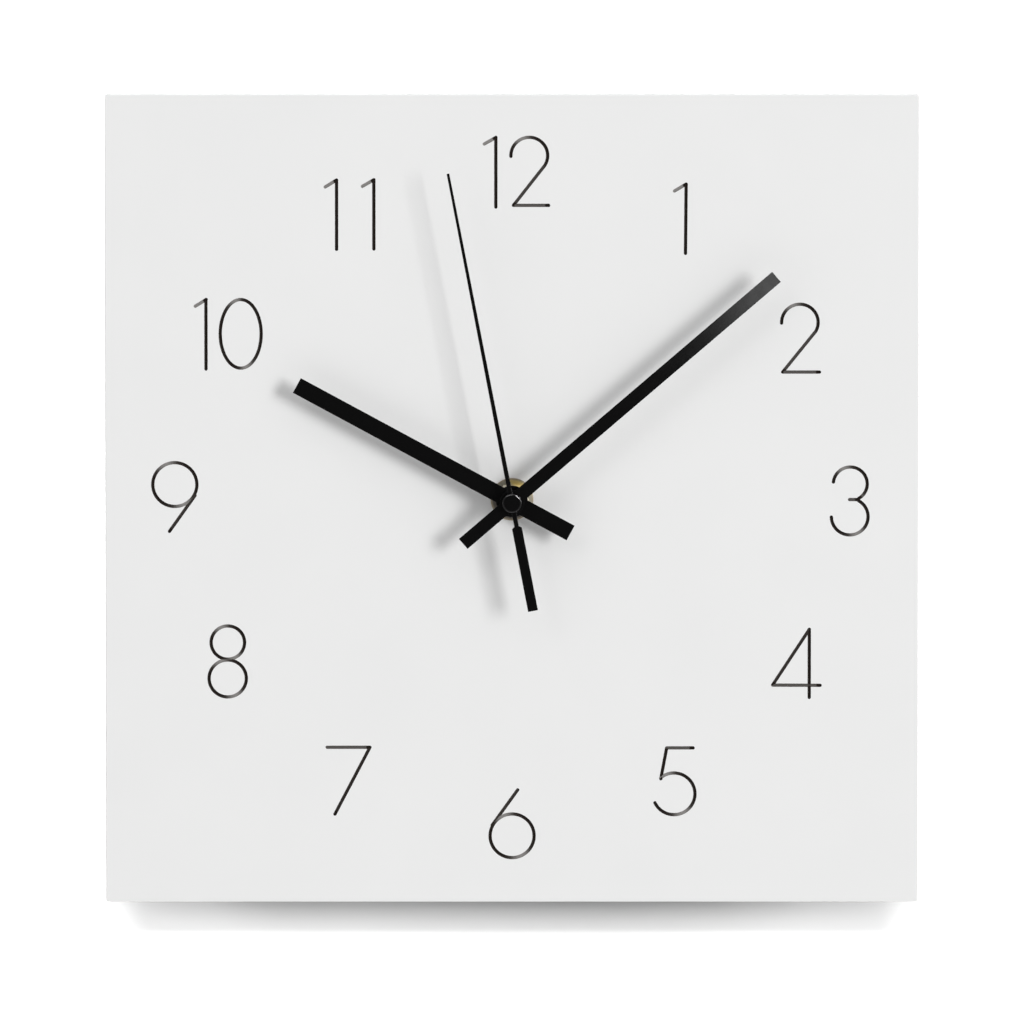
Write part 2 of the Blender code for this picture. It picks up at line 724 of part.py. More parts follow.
def hanger():
    """A stamped steel loop: its tab sits behind the case's top wall, and a row of notches takes the nail."""
    half_tab = HANGER_TAB_WIDTH / 2
    half_width = HANGER_WIDTH / 2
    half_open = HANGER_OPENING_WIDTH / 2
    shoulder = case_half + SEAT_GAP
    sill = shoulder + HANGER_RIM - HANGER_THICKNESS
    lintel = sill + HANGER_OPENING_HEIGHT
    top = lintel + HANGER_TOOTH + HANGER_RIM
    outline = [
        (-half_tab, inner_half - HANGER_TAB_DEPTH),
        (half_tab, inner_half - HANGER_TAB_DEPTH),
        (half_tab, shoulder),
        (half_width, shoulder),
    ]
    corner = top - lintel
    outline += arc((half_width - corner, top - corner), corner, 0, pi / 2)
    outline += arc((corner - half_width, top - corner), corner, pi / 2, pi)
    outline += [(-half_width, shoulder), (-half_tab, shoulder)]
    opening = [(-half_open, sill), (half_open, sill)]
    pitch = HANGER_OPENING_WIDTH / HANGER_TOOTH_COUNT
    for tooth in range(HANGER_TOOTH_COUNT):
        right = half_open - tooth * pitch
        opening += [(right, lintel), (right - pitch / 2, lintel + HANGER_TOOTH)]
    opening.append((-half_open, lintel))
    back = case_back + SEAT_GAP
    piece("hanger", prism([outline, opening], back, back + HANGER_THICKNESS), STEEL)


# Battery and contacts
contact_outer = inner_half - SEAT_GAP
battery_front_end = contact_outer - CONTACT_THICKNESS - SEAT_GAP
battery_back_end = battery_front_end - BATTERY_LENGTH


def battery():
    radius = BATTERY_DIAMETER / 2
    nub = BATTERY_NUB_DIAMETER / 2
    shoulder = BATTERY_LENGTH - BATTERY_NUB_LENGTH
    profile = [
        (0, BATTERY_LENGTH),
        (nub, BATTERY_LENGTH),
        (nub, shoulder),
        (radius - BATTERY_EDGE, shoulder),
        (radius, shoulder - BATTERY_EDGE),
        (radius, BATTERY_EDGE),
        (radius - BATTERY_EDGE, 0),
        (0, 0),
    ]
    place = (battery_back_end, battery_height, battery_level)
    piece("battery", turned(profile, FINE_STEPS), BATTERY_GREY, place, (0, pi / 2, 0))


def contacts():
    """Two sheet strips: each presses on one end of the battery and runs on to the circuit board."""
    back = battery_level - CONTACT_HEIGHT / 2
    front = battery_level + CONTACT_HEIGHT / 2
    lead_front = lead_level + LEAD_HEIGHT
    low = battery_height - CONTACT_WIDTH / 2
    high = battery_height + CONTACT_WIDTH / 2
    middle = contact_outer - CONTACT_THICKNESS / 2
    lead_end = pcb_right - LEAD_REACH
    plate = ribbon([(middle, low), (middle, high)], CONTACT_THICKNESS, back, front)
    lead_path = [(middle, high - JOIN_DEPTH), (middle, pcb_bottom), (lead_end, pcb_bottom + LEAD_REACH)]
    lead = ribbon(lead_path, LEAD_THICKNESS, lead_level, lead_front)
    piece("positive_contact", plate, STEEL, joins=[lead])
    bow = battery_back_end - SEAT_GAP - CONTACT_THICKNESS / 2
    leaf = ribbon([(-middle, low), (bow, battery_height), (-middle, high)], CONTACT_THICKNESS, back, front)
    run = inner_half - SEAT_GAP - LEAD_THICKNESS
    lead_path = [
        (-middle, high - JOIN_DEPTH),
        (-middle, run),
        (pcb_left, run),
        (pcb_left + LEAD_REACH, run - LEAD_REACH),
    ]
    lead = ribbon(lead_path, LEAD_THICKNESS, lead_level, lead_front)
    piece("negative_contact", leaf, STEEL, joins=[lead])


# Stepping motor
magnet_front = third_wheel_back
magnet_back = magnet_front - MAGNET_LENGTH
stator_back = magnet_back + (MAGNET_LENGTH - STATOR_THICKNESS) / 2
stator_front = stator_back + STATOR_THICKNESS
core_back = stator_front + SEAT_GAP
core_front = core_back + CORE_THICKNESS
coil_level = (core_back + core_front) / 2
stator_low = bay_top + CASE_WALL + STATOR_BAY_GAP
coil_bottom = stator_low + STATOR_ARM_WIDTH + SEAT_GAP
stator_high = coil_bottom + COIL_LENGTH + SEAT_GAP + STATOR_ARM_WIDTH
screw_places = (
    (coil_x, stator_low + STATOR_ARM_WIDTH / 2),
    (coil_x, stator_high - STATOR_ARM_WIDTH / 2),
)


def stator():
    """One steel plate: a bar with a round pole ring about the rotor, and an arm at each end."""
    x, y = rotor_axis
    half_bar = STATOR_BAR_WIDTH / 2
    pole = MAGNET_RADIUS + AIR_GAP + STATOR_POLE_RIM
    swell = asin(half_bar / pole)
    right = coil_x + STATOR_ARM_WIDTH / 2
    outline = [
        (x - half_bar, stator_low),
        (right, stator_low),
        (right, stator_low + STATOR_ARM_WIDTH),
        (x + half_bar, stator_low + STATOR_ARM_WIDTH),
    ]
    outline += arc(rotor_axis, pole, swell - pi / 2, pi / 2 - swell, SMALL_STEPS)
    outline += [
        (x + half_bar, stator_high - STATOR_ARM_WIDTH),
        (right, stator_high - STATOR_ARM_WIDTH),
        (right, stator_high),
        (x - half_bar, stator_high),
    ]
    outline += arc(rotor_axis, pole, pi / 2 + swell, 3 * pi / 2 - swell, SMALL_STEPS)
    holes = [circle(MAGNET_RADIUS + AIR_GAP, rotor_axis)]
    holes += [circle(SCREW_RADIUS + FIT_GAP, place, SMALL_STEPS) for place in screw_places]
    piece("stator", prism([outline, *holes], stator_back, stator_front), STEEL)


def coil():
    upright = (-pi / 2, 0, 0)
    place = (coil_x, coil_bottom, coil_level)
    barrel = BOBBIN_BARREL_RADIUS
    spool = [
        (BOBBIN_FLANGE_RADIUS, COIL_LENGTH),
        (BOBBIN_FLANGE_RADIUS, COIL_LENGTH - BOBBIN_FLANGE),
        (barrel, COIL_LENGTH - BOBBIN_FLANGE),
        (barrel, BOBBIN_FLANGE),
        (BOBBIN_FLANGE_RADIUS, BOBBIN_FLANGE),
        (BOBBIN_FLANGE_RADIUS, 0),
        (0, 0),
    ]
    half_width = CORE_WIDTH / 2 + FIT_GAP
    half_height = CORE_THICKNESS / 2 + FIT_GAP
    slot = block((-half_width, -half_height, -OVERRUN), (half_width, half_height, COIL_LENGTH + OVERRUN))
    spool_mesh = turned([(0, COIL_LENGTH), *spool])
    piece("coil_bobbin", spool_mesh, NATURAL_PLASTIC, place, upright, cuts=[slot])
    winding = ring(
        barrel + FIT_GAP, COIL_RADIUS, BOBBIN_FLANGE + SEAT_GAP, COIL_LENGTH - BOBBIN_FLANGE - SEAT_GAP
    )
    piece("coil_winding", winding, COPPER, place, upright)
    half_core = CORE_WIDTH / 2
    half_end = STATOR_ARM_WIDTH / 2
    outline = [
        (coil_x - half_end, stator_low),
        (coil_x + half_end, stator_low),
        (coil_x + half_end, coil_bottom - SEAT_GAP),
        (coil_x + half_core, coil_bottom - SEAT_GAP),
        (coil_x + half_core, coil_bottom + COIL_LENGTH + SEAT_GAP),
        (coil_x + half_end, coil_bottom + COIL_LENGTH + SEAT_GAP),
        (coil_x + half_end, stator_high),
        (coil_x - half_end, stator_high),
        (coil_x - half_end, coil_bottom + COIL_LENGTH + SEAT_GAP),
        (coil_x - half_core, coil_bottom + COIL_LENGTH + SEAT_GAP),
        (coil_x - half_core, coil_bottom - SEAT_GAP),
        (coil_x - half_end, coil_bottom - SEAT_GAP),
    ]
    holes = [circle(SCREW_RADIUS + FIT_GAP, place, SMALL_STEPS) for place in screw_places]
    piece("coil_core", prism([outline, *holes], core_back, core_front), STEEL)


def core_screws():
    head_front = stator_back - SEAT_GAP
    profile = [
        (0, mid_plate_front),
        (SCREW_RADIUS, mid_plate_front),
        (SCREW_RADIUS, head_front),
        (SCREW_HEAD_RADIUS, head_front),
        (SCREW_HEAD_RADIUS, head_front - SCREW_HEAD_HEIGHT),
        (0, head_front - SCREW_HEAD_HEIGHT),
    ]
    for name, place in zip(("lower_core_screw", "upper_core_screw"), screw_places):
        piece(name, turned(profile, SMALL_STEPS), STEEL, flat(place))


# Circuit board
pcb_back = mid_plate_front + PCB_LEVEL_GAP
pcb_front = pcb_back + PCB_THICKNESS
pcb_left = inner_half - SEAT_GAP - CONTACT_THICKNESS - SEAT_GAP - PCB_WIDTH
pcb_bottom = inner_half - SEAT_GAP - LEAD_THICKNESS - SEAT_GAP - PCB_HEIGHT
pcb_right = pcb_left + PCB_WIDTH
pcb_top = pcb_bottom + PCB_HEIGHT
pcb_post_places = (
    (pcb_left + PCB_POST_INSET, pcb_bottom + PCB_POST_INSET),
    (pcb_right - PCB_POST_INSET, pcb_top - PCB_POST_INSET),
)


def circuit():
    board = block((pcb_left, pcb_bottom, pcb_back), (pcb_right, pcb_top, pcb_front))
    piece("circuit_board", board, GREEN_BOARD)
    chip = [
        (0, CHIP_HEIGHT),
        (CHIP_RADIUS / 2, CHIP_HEIGHT - CHIP_HEIGHT / 8),
        (CHIP_RADIUS * 7 / 8, CHIP_HEIGHT / 2),
        (CHIP_RADIUS, 0),
        (0, 0),
    ]
    chip_place = ((pcb_left + pcb_right) / 2, pcb_bottom + CHIP_RADIUS + SEAT_GAP, pcb_front + SEAT_GAP)
    piece("chip_cover", turned(chip, SMALL_STEPS), BLACK_PLASTIC, chip_place)
    crystal_level = pcb_front + SEAT_GAP + CRYSTAL_RADIUS
    crystal_height = pcb_top - 2 * PCB_POST_INSET - CRYSTAL_RADIUS / 2
    crystal_place = (pcb_right - CRYSTAL_LENGTH - SEAT_GAP, crystal_height, crystal_level)
    crystal = rod(CRYSTAL_RADIUS, 0, CRYSTAL_LENGTH)
    piece("quartz_crystal", crystal, STEEL, crystal_place, (0, pi / 2, 0))


# Wheel train, with each wheel turned so that its teeth mesh at rest
second_turn = SECOND_ANGLE
intermediate_pinion_turn = meshing_turn(
    INTERMEDIATE_DIRECTION, SECOND_TEETH, second_turn, INTERMEDIATE_PINION_TEETH
)
rotor_turn = meshing_turn(ROTOR_DIRECTION, INTERMEDIATE_TEETH, 0, ROTOR_TEETH)
third_turn = meshing_turn(THIRD_DIRECTION, SECOND_PINION_TEETH, second_turn, THIRD_TEETH)
centre_turn = meshing_turn(THIRD_DIRECTION + pi, THIRD_PINION_TEETH, 0, CENTRE_TEETH)
motion_turn = meshing_turn(MOTION_DIRECTION, MINUTE_PINION_TEETH, MINUTE_ANGLE, MOTION_TEETH)
hour_turn = meshing_turn(MOTION_DIRECTION + pi, MOTION_PINION_TEETH, 0, HOUR_TEETH)
setting_turn = meshing_turn(SETTING_DIRECTION, MOTION_TEETH, motion_turn, SETTING_TEETH)
pivot_back = COVER_THICKNESS / 2 + FIT_GAP


def rotor():
    magnet = ring(WHEEL_ARBOR_RADIUS + FIT_GAP, MAGNET_RADIUS, magnet_back, magnet_front - SEAT_GAP)
    piece("rotor_magnet", magnet, STEEL, flat(rotor_axis))
    pinion = prism([gear_outline(ROTOR_TEETH, ROTOR_MODULE, rotor_turn)], magnet_front, third_wheel_front)
    ends = rod(PIVOT_RADIUS, pivot_back, mid_plate_back + PIVOT_LENGTH)
    sleeve = rod(WHEEL_ARBOR_RADIUS, magnet_back, magnet_front + JOIN_DEPTH)
    piece("rotor_pinion", pinion, NATURAL_PLASTIC, flat(rotor_axis), joins=[sleeve, ends])


def intermediate_wheel():
    wheel = gear_outline(INTERMEDIATE_TEETH, ROTOR_MODULE, 0)
    pinion = gear_outline(INTERMEDIATE_PINION_TEETH, SECOND_MODULE, intermediate_pinion_turn)
    pinion_back = second_wheel_back - SEAT_GAP
    piece(
        "intermediate_wheel",
        prism([wheel], third_wheel_back, third_wheel_front),
        NATURAL_PLASTIC,
        flat(intermediate_axis),
        joins=[
            prism([pinion], pinion_back, third_wheel_back + JOIN_DEPTH),
            rod(PIVOT_RADIUS, pivot_back, mid_plate_back + PIVOT_LENGTH),
        ],
    )


def second_group():
    wheel = gear_outline(SECOND_TEETH, SECOND_MODULE, second_turn)
    pinion = gear_outline(SECOND_PINION_TEETH, THIRD_MODULE, second_turn)
    bore = rod(second_bore, boss_front, mid_plate_front, steps=SMALL_STEPS)
    piece(
        "second_wheel",
        prism([wheel], second_wheel_back, second_wheel_front),
        NATURAL_PLASTIC,
        joins=[prism([pinion], second_wheel_back + JOIN_DEPTH, third_wheel_front)],
        cuts=[bore],
    )
    arbor_front = cap_front - CAP_ROUND - FIT_GAP
    piece("second_arbor", rod(SECOND_ARBOR_RADIUS, pivot_back, arbor_front), STEEL)
    cap_bore = arbor_front + FIT_GAP
    cap_profile = [
        (0, cap_front),
        (CAP_RADIUS - CAP_ROUND, cap_front),
        (CAP_RADIUS - CAP_ROUND * (1 - sqrt(0.5)), cap_front - CAP_ROUND * (1 - sqrt(0.5))),
        (CAP_RADIUS, cap_front - CAP_ROUND),
        (CAP_RADIUS, cap_back),
        (SECOND_TUBE_RADIUS, cap_back),
        (SECOND_TUBE_RADIUS, second_tube_back),
        (second_bore, second_tube_back),
        (second_bore, cap_bore),
        (0, cap_bore),
    ]
    piece("second_hand_cap", turned(cap_profile, FINE_STEPS), BLACK_LACQUER)


def third_wheel():
    wheel = gear_outline(THIRD_TEETH, THIRD_MODULE, third_turn)
    pinion = gear_outline(THIRD_PINION_TEETH, CENTRE_MODULE, 0)
    pivot_front = centre_wheel_front + LEVEL_GAP + SEAT_GAP + PIVOT_LENGTH
    piece(
        "third_wheel",
        prism([wheel], third_wheel_back, third_wheel_front),
        NATURAL_PLASTIC,
        flat(third_axis),
        joins=[
            prism([pinion], third_wheel_back + JOIN_DEPTH, centre_wheel_front + LEVEL_GAP),
            rod(WHEEL_ARBOR_RADIUS, boss_front + SEAT_GAP, third_wheel_back + JOIN_DEPTH),
            rod(PIVOT_RADIUS, pivot_back, pivot_front),
        ],
    )


def centre_wheel():
    wheel = [gear_outline(CENTRE_TEETH, CENTRE_MODULE, centre_turn), circle(hour_bore, steps=SMALL_STEPS)]
    piece("centre_wheel", prism(wheel, centre_wheel_back, centre_wheel_front), NATURAL_PLASTIC)


def clutch_spring():
    """A star of springy arms that presses the centre wheel against the minute pipe's head."""
    half_arm = CLUTCH_ARM_WIDTH / 2
    lean = asin(half_arm / CLUTCH_RING_RADIUS)
    outline = []
    for arm in range(CLUTCH_ARMS):
        middle = 2 * pi * arm / CLUTCH_ARMS
        spread = atan2(half_arm, CLUTCH_ARM_REACH)
        reach = sqrt(half_arm**2 + CLUTCH_ARM_REACH**2)
        outline.append(polar(CENTRE, middle - spread, reach))
        outline.append(polar(CENTRE, middle + spread, reach))
        next_arm = middle + 2 * pi / CLUTCH_ARMS
        outline += arc(CENTRE, CLUTCH_RING_RADIUS, middle + lean, next_arm - lean)
    star = prism([outline, circle(hour_bore, steps=SMALL_STEPS)], clutch_back, clutch_front)
    piece("clutch_spring", star, STEEL)


def minute_pipe():
    profile = [
        (MINUTE_PIPE_RADIUS, minute_pipe_front),
        (MINUTE_PIPE_RADIUS, mid_plate_front),
        (RETAINER_RADIUS, mid_plate_front),
        (RETAINER_RADIUS, mid_plate_front - RETAINER_HEIGHT),
        (minute_bore, mid_plate_front - RETAINER_HEIGHT),
        (minute_bore, minute_pipe_front),
    ]
    pinion = gear_outline(MINUTE_PINION_TEETH, MOTION_MODULE, MINUTE_ANGLE)
    inner = circle((minute_bore + MINUTE_PIPE_RADIUS) / 2, steps=SMALL_STEPS)
    teeth = prism([pinion, inner], minute_pinion_back, minute_pinion_front)
    piece("minute_pipe", turned(profile, SMALL_STEPS, loop=True), BRASS, joins=[teeth])


def motion_wheel():
    wheel = gear_outline(MOTION_TEETH, MOTION_MODULE, motion_turn)
    pinion = gear_outline(MOTION_PINION_TEETH, HOUR_MODULE, 0)
    bore = rod(
        MOTION_STUD_RADIUS + RUNNING_GAP, motion_wheel_back - OVERRUN, motion_pinion_front + OVERRUN
    )
    piece(
        "motion_wheel",
        prism([wheel], motion_wheel_back, motion_wheel_front),
        NATURAL_PLASTIC,
        flat(motion_axis),
        joins=[prism([pinion], motion_wheel_back + JOIN_DEPTH, motion_pinion_front)],
        cuts=[bore],
    )


def hour_wheel():
    hub_front = flange_back - SEAT_GAP
    profile = [
        (HOUR_PIPE_RADIUS, hour_pipe_front),
        (HOUR_PIPE_RADIUS, hub_front),
        (HOUR_HUB_RADIUS, hub_front),
        (HOUR_HUB_RADIUS, hour_wheel_back - FIT_GAP),
        (hour_bore, hour_wheel_back - FIT_GAP),
        (hour_bore, hour_pipe_front),
    ]
    inner = circle((hour_bore + HOUR_HUB_RADIUS) / 2)
    teeth = prism([gear_outline(HOUR_TEETH, HOUR_MODULE, hour_turn), inner], hour_wheel_back, hour_wheel_front)
    piece("hour_wheel", turned(profile, ROUND_STEPS, loop=True), NATURAL_PLASTIC, joins=[teeth])


def setting_group():
    profile = [
        (0, minute_pinion_front + PIVOT_LENGTH),
        (SETTING_END_RADIUS, minute_pinion_front + PIVOT_LENGTH),
        (SETTING_END_RADIUS, minute_pinion_front - JOIN_DEPTH),
        (SETTING_ARBOR_RADIUS, minute_pinion_front - JOIN_DEPTH),
        (SETTING_ARBOR_RADIUS, well_floor_back),
        (SETTING_END_RADIUS, well_floor_back),
        (SETTING_END_RADIUS, KNOB_SETBACK + KNOB_THICKNESS / 2),
        (0, KNOB_SETBACK + KNOB_THICKNESS / 2),
    ]
    inner = circle((SETTING_END_RADIUS + SETTING_ARBOR_RADIUS) / 2, steps=SMALL_STEPS)
    pinion = [gear_outline(SETTING_TEETH, MOTION_MODULE, setting_turn), inner]
    teeth = prism(pinion, minute_pinion_back, minute_pinion_front)
    piece("setting_arbor", turned(profile, SMALL_STEPS), NATURAL_PLASTIC, flat(setting_axis), joins=[teeth])
    rim = []
    for flute in range(KNOB_FLUTES):
        middle = 2 * pi * flute / KNOB_FLUTES
        eighth = 2 * pi / KNOB_FLUTES / 8
        rim.append(polar(CENTRE, middle - 3 * eighth, KNOB_RADIUS))
        rim.append(polar(CENTRE, middle + eighth, KNOB_RADIUS))
        rim.append(polar(CENTRE, middle + 3 * eighth, KNOB_RADIUS - KNOB_FLUTE_DEPTH))
    front = KNOB_SETBACK + KNOB_THICKNESS
    bore = rod(SETTING_END_RADIUS + FIT_GAP, front - KNOB_THICKNESS / 2 - FIT_GAP, front + OVERRUN)
    knob = prism([rim], KNOB_SETBACK, front)
    piece("setting_knob", knob, BLACK_PLASTIC, flat(setting_axis), cuts=[bore])


# Hands, drawn pointing along x
def bar_with_disc(tip, tip_width, hub_width, disc_radius, tail_points, tail_width):
    """A bar that runs through a hub disc, with its tail's points given from below to above."""
    start = asin(hub_width / 2 / disc_radius)
    end = pi - asin(tail_width / 2 / disc_radius)
    outline = [(tip, -tip_width / 2), (tip, tip_width / 2)]
    outline += arc(CENTRE, disc_radius, start, end, ROUND_STEPS)
    outline += reversed(tail_points)
    outline += arc(CENTRE, disc_radius, -end, -start, ROUND_STEPS)
    return outline


def straight_tail(length, width):
    return [(-length, -width / 2), (-length, width / 2)]


def hand(name, outline, bore, back, front, angle):
    plate = prism([outline, circle(bore)], back, front)
    piece(name, plate, BLACK_LACQUER, (0, 0, 0), (0, 0, angle))


def hour_hand():
    tail = straight_tail(HOUR_TAIL, HOUR_WIDTH)
    outline = bar_with_disc(HOUR_TIP, HOUR_WIDTH, HOUR_WIDTH, HOUR_DISC_RADIUS, tail, HOUR_WIDTH)
    bore = HOUR_PIPE_RADIUS + FIT_GAP
    hand("hour_hand", outline, bore, hour_hand_back, hour_hand_front, HOUR_ANGLE)
    collar = ring(bore, bore + COLLAR_RIM, hour_collar_back, hour_collar_front)
    piece("hour_hand_collar", collar, BLACK_LACQUER)


def minute_hand():
    tail = straight_tail(MINUTE_TAIL, MINUTE_WIDTH)
    outline = bar_with_disc(
        MINUTE_TIP, MINUTE_WIDTH, MINUTE_WIDTH, MINUTE_DISC_RADIUS, tail, MINUTE_WIDTH
    )
    bore = MINUTE_PIPE_RADIUS + FIT_GAP
    hand("minute_hand", outline, bore, minute_hand_back, minute_hand_front, MINUTE_ANGLE)
    collar = ring(bore, bore + COLLAR_RIM, minute_collar_back, minute_collar_front)
    piece("minute_hand_collar", collar, BLACK_LACQUER)


def second_hand():
    """A needle that tapers to its tip, with a narrow neck and a broad counterweight behind the hub."""
    neck = SECOND_HUB_WIDTH / 2
    weight = SECOND_WEIGHT_WIDTH / 2
    chamfer_end = SECOND_WEIGHT_START + SECOND_WEIGHT_CHAMFER
    upper_tail = [
        (-SECOND_WEIGHT_START, neck),
        (-chamfer_end, weight),
        (-SECOND_TAIL, weight),
    ]
    lower_tail = [(x, -y) for x, y in upper_tail]
    tail = [*lower_tail, *reversed(upper_tail)]
    outline = bar_with_disc(
        SECOND_TIP, SECOND_TIP_WIDTH, SECOND_HUB_WIDTH, SECOND_DISC_RADIUS, tail, SECOND_HUB_WIDTH
    )
    bore = SECOND_TUBE_RADIUS + FIT_GAP
    hand("second_hand", outline, bore, blade_back, blade_front, SECOND_ANGLE)


dial_board()
clamping_stack()
front_case()
mid_plate()
rear_cover()
hanger()
battery()
contacts()
stator()
coil()
core_screws()
circuit()
rotor()
intermediate_wheel()
second_group()
third_wheel()
centre_wheel()
clutch_spring()
minute_pipe()
motion_wheel()
hour_wheel()
setting_group()
hour_hand()
minute_hand()
second_hand()
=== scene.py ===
"""Looks of the square wall clock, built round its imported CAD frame.

Lengths are metres. The dial faces -Y and +Z is up. The clock's back is the plane y = 0, and a level is a
distance in front of it, so what lies at a level has y = -level.
"""

from math import cos, pi, radians, sin, tan

import bmesh
import bpy
import numpy as np
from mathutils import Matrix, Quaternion, Vector


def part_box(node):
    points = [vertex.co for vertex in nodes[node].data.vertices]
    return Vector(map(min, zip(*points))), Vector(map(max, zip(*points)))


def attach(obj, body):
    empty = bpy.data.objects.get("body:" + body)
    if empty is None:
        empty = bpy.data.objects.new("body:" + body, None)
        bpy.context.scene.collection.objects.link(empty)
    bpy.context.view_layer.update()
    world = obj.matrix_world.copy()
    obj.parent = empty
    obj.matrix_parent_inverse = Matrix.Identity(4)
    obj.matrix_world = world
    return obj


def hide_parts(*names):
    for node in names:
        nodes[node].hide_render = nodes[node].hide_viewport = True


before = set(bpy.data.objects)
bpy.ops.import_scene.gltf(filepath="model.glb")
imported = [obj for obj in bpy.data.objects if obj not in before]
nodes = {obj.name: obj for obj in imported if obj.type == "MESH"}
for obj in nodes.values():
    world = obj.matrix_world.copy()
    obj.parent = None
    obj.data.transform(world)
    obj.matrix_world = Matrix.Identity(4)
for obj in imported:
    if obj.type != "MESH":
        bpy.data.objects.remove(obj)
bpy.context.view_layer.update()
scene = bpy.context.scene


# Sizes, read from the frame or named here
def levels(name):
    """The levels of a CAD node's back and front."""
    low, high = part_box(name)
    return round(-high.y, 5), round(-low.y, 5)


def half_width(name):
    """Half of a CAD node's width, which is a turned node's radius."""
    low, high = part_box(name)
    return round((high.x - low.x) / 2, 5)


BOARD_HALF = half_width("dial_board")
BOARD_BACK, BOARD_FRONT = levels("dial_board")
BOARD_CORNER = 0.0009
BOARD_EASE = 0.00028
CORNER_POINTS = 8
STACK_BORE = 0.0042
CASE_BACK, CASE_FRONT = levels("front_case")
# The cover's plate is this thick. The node's own box holds its posts too.
COVER_PLATE = 0.0013
GASKET_BACK, GASKET_FRONT = levels("rubber_gasket")
KNOB_LOW, KNOB_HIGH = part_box("setting_knob")
KNOB_CENTRE = (round((KNOB_LOW.x + KNOB_HIGH.x) / 2, 6), round((KNOB_LOW.z + KNOB_HIGH.z) / 2, 6))
# Vertices nearer than MERGED become one, and levels within SAME_LEVEL count as equal.
MERGED = 1e-7
SAME_LEVEL = 1e-5


# Nodes of the materials and the world
def material(name, colour, roughness, metallic=0.0, **constants):
    """A Principled material. The constants are set on the shader's own sockets."""
    made = bpy.data.materials.new(name)
    made.use_nodes = True
    shader = made.node_tree.nodes["Principled BSDF"]
    shader.inputs["Base Color"].default_value = (*colour, 1)
    shader.inputs["Roughness"].default_value = roughness
    shader.inputs["Metallic"].default_value = metallic
    for socket, value in constants.items():
        shader.inputs[socket.replace("_", " ")].default_value = value
    return made


def node(made, kind, links=(), **values):
    """A node of this kind, with its values set and its inputs linked."""
    tree = made.node_tree
    new = tree.nodes.new(kind)
    for key, value in values.items():
        if hasattr(new, key):
            setattr(new, key, value)
        else:
            new.inputs[key.replace("_", " ")].default_value = value
    for target, source in links:
        tree.links.new(source, new.inputs[target])
    return new


def dress(made, **links):
    """Links outputs into the Principled shader's sockets."""
    shader = made.node_tree.nodes["Principled BSDF"]
    for socket, source in links.items():
        made.node_tree.links.new(source, shader.inputs[socket.replace("_", " ")])
    return made


def place(made, stretch=(1, 1, 1)):
    """Object coordinates, stretched along the axes."""
    tree = made.node_tree
    coordinates = tree.nodes.get("Texture Coordinate") or tree.nodes.new("ShaderNodeTexCoord")
    links = [("Vector", coordinates.outputs["Object"])]
    return node(made, "ShaderNodeMapping", links, Scale=stretch).outputs[0]


def part_of(made, vector, axis):
    """One coordinate of a vector."""
    return node(made, "ShaderNodeSeparateXYZ", [("Vector", vector)]).outputs[axis]


def noise(made, size, detail=2.0, stretch=(1, 1, 1)):
    """Noise whose features are about this size in metres."""
    links = [("Vector", place(made, tuple(part / size for part in stretch)))]
    return node(made, "ShaderNodeTexNoise", links, Scale=1.0, Detail=detail).outputs["Fac"]


def maths(made, operation, value, other=None):
    """An operation on a socket, and on another one or a number where it has two terms."""
    new = node(made, "ShaderNodeMath", [(0, value)], operation=operation)
    if isinstance(other, float):
        new.inputs[1].default_value = other
    elif other is not None:
        made.node_tree.links.new(other, new.inputs[1])
    return new.outputs[0]


def ripples(made, distance, pitch):
    """Waves along a distance: sin(2 pi distance / pitch)."""
    return maths(made, "SINE", maths(made, "MULTIPLY", distance, 2 * pi / pitch))


def between(made, value, low, high):
    """A factor that rises from 0 to 1 as the value goes from low to high."""
    return node(made, "ShaderNodeMapRange", [("Value", value)], From_Min=low, From_Max=high).outputs["Result"]


def spread(made, factor, low, high):
    """A value that follows a 0 to 1 factor from low to high."""
    return node(made, "ShaderNodeMapRange", [("Value", factor)], To_Min=low, To_Max=high).outputs["Result"]


def ramp(made, factor, stops):
    """A colour ramp. Each stop is a position and a grey or a colour."""
    new = node(made, "ShaderNodeValToRGB", [("Fac", factor)])
    elements = new.color_ramp.elements
    while len(elements) < len(stops):
        elements.new(0.5)
    for element, (position, tone) in zip(elements, stops):
        element.position = position
        element.color = (*tone, 1) if isinstance(tone, tuple) else (tone, tone, tone, 1)
    return new.outputs["Color"]


def mixed(made, factor, first, second, blend="MIX"):
    """Two colours, each a socket or a colour, mixed by a factor, which is a socket or a number."""
    new = node(made, "ShaderNodeMix", data_type="RGBA", blend_type=blend)
    if isinstance(factor, float):
        new.inputs["Factor"].default_value = factor
    else:
        made.node_tree.links.new(factor, new.inputs["Factor"])
    colours = [socket for socket in new.inputs if socket.type == "RGBA"]
    for socket, value in zip(colours, (first, second)):
        if isinstance(value, tuple):
            socket.default_value = (*value, 1)
        else:
            made.node_tree.links.new(value, socket)
    return next(socket for socket in new.outputs if socket.type == "RGBA")


def bump(made, height, distance, under=None):
    """A bumped normal, over another one where it is given."""
    links = [("Height", height)] + ([("Normal", under)] if under else [])
    return node(made, "ShaderNodeBump", links, Distance=distance).outputs["Normal"]


# Materials
def white_lacquer():
    """Sprayed satin lacquer: a faint mottle, a fine orange peel, slow waves and a slightly uneven gloss."""
    mottle_size, gloss_size = 0.035, 0.02
    peel_size, peel_height = 0.0011, 0.000004
    wave_size, wave_height = 0.012, 0.00003
    greyer, whiter = (0.815, 0.817, 0.815), (0.840, 0.841, 0.838)
    made = material("white_lacquer", (0.83, 0.83, 0.82), 0.4)
    peel = bump(made, noise(made, peel_size), peel_height)
    return dress(
        made,
        Base_Color=mixed(made, noise(made, mottle_size, 4.0), greyer, whiter),
        Roughness=spread(made, noise(made, gloss_size, 3.0), 0.36, 0.46),
        Normal=bump(made, noise(made, wave_size), wave_height, under=peel),
    )


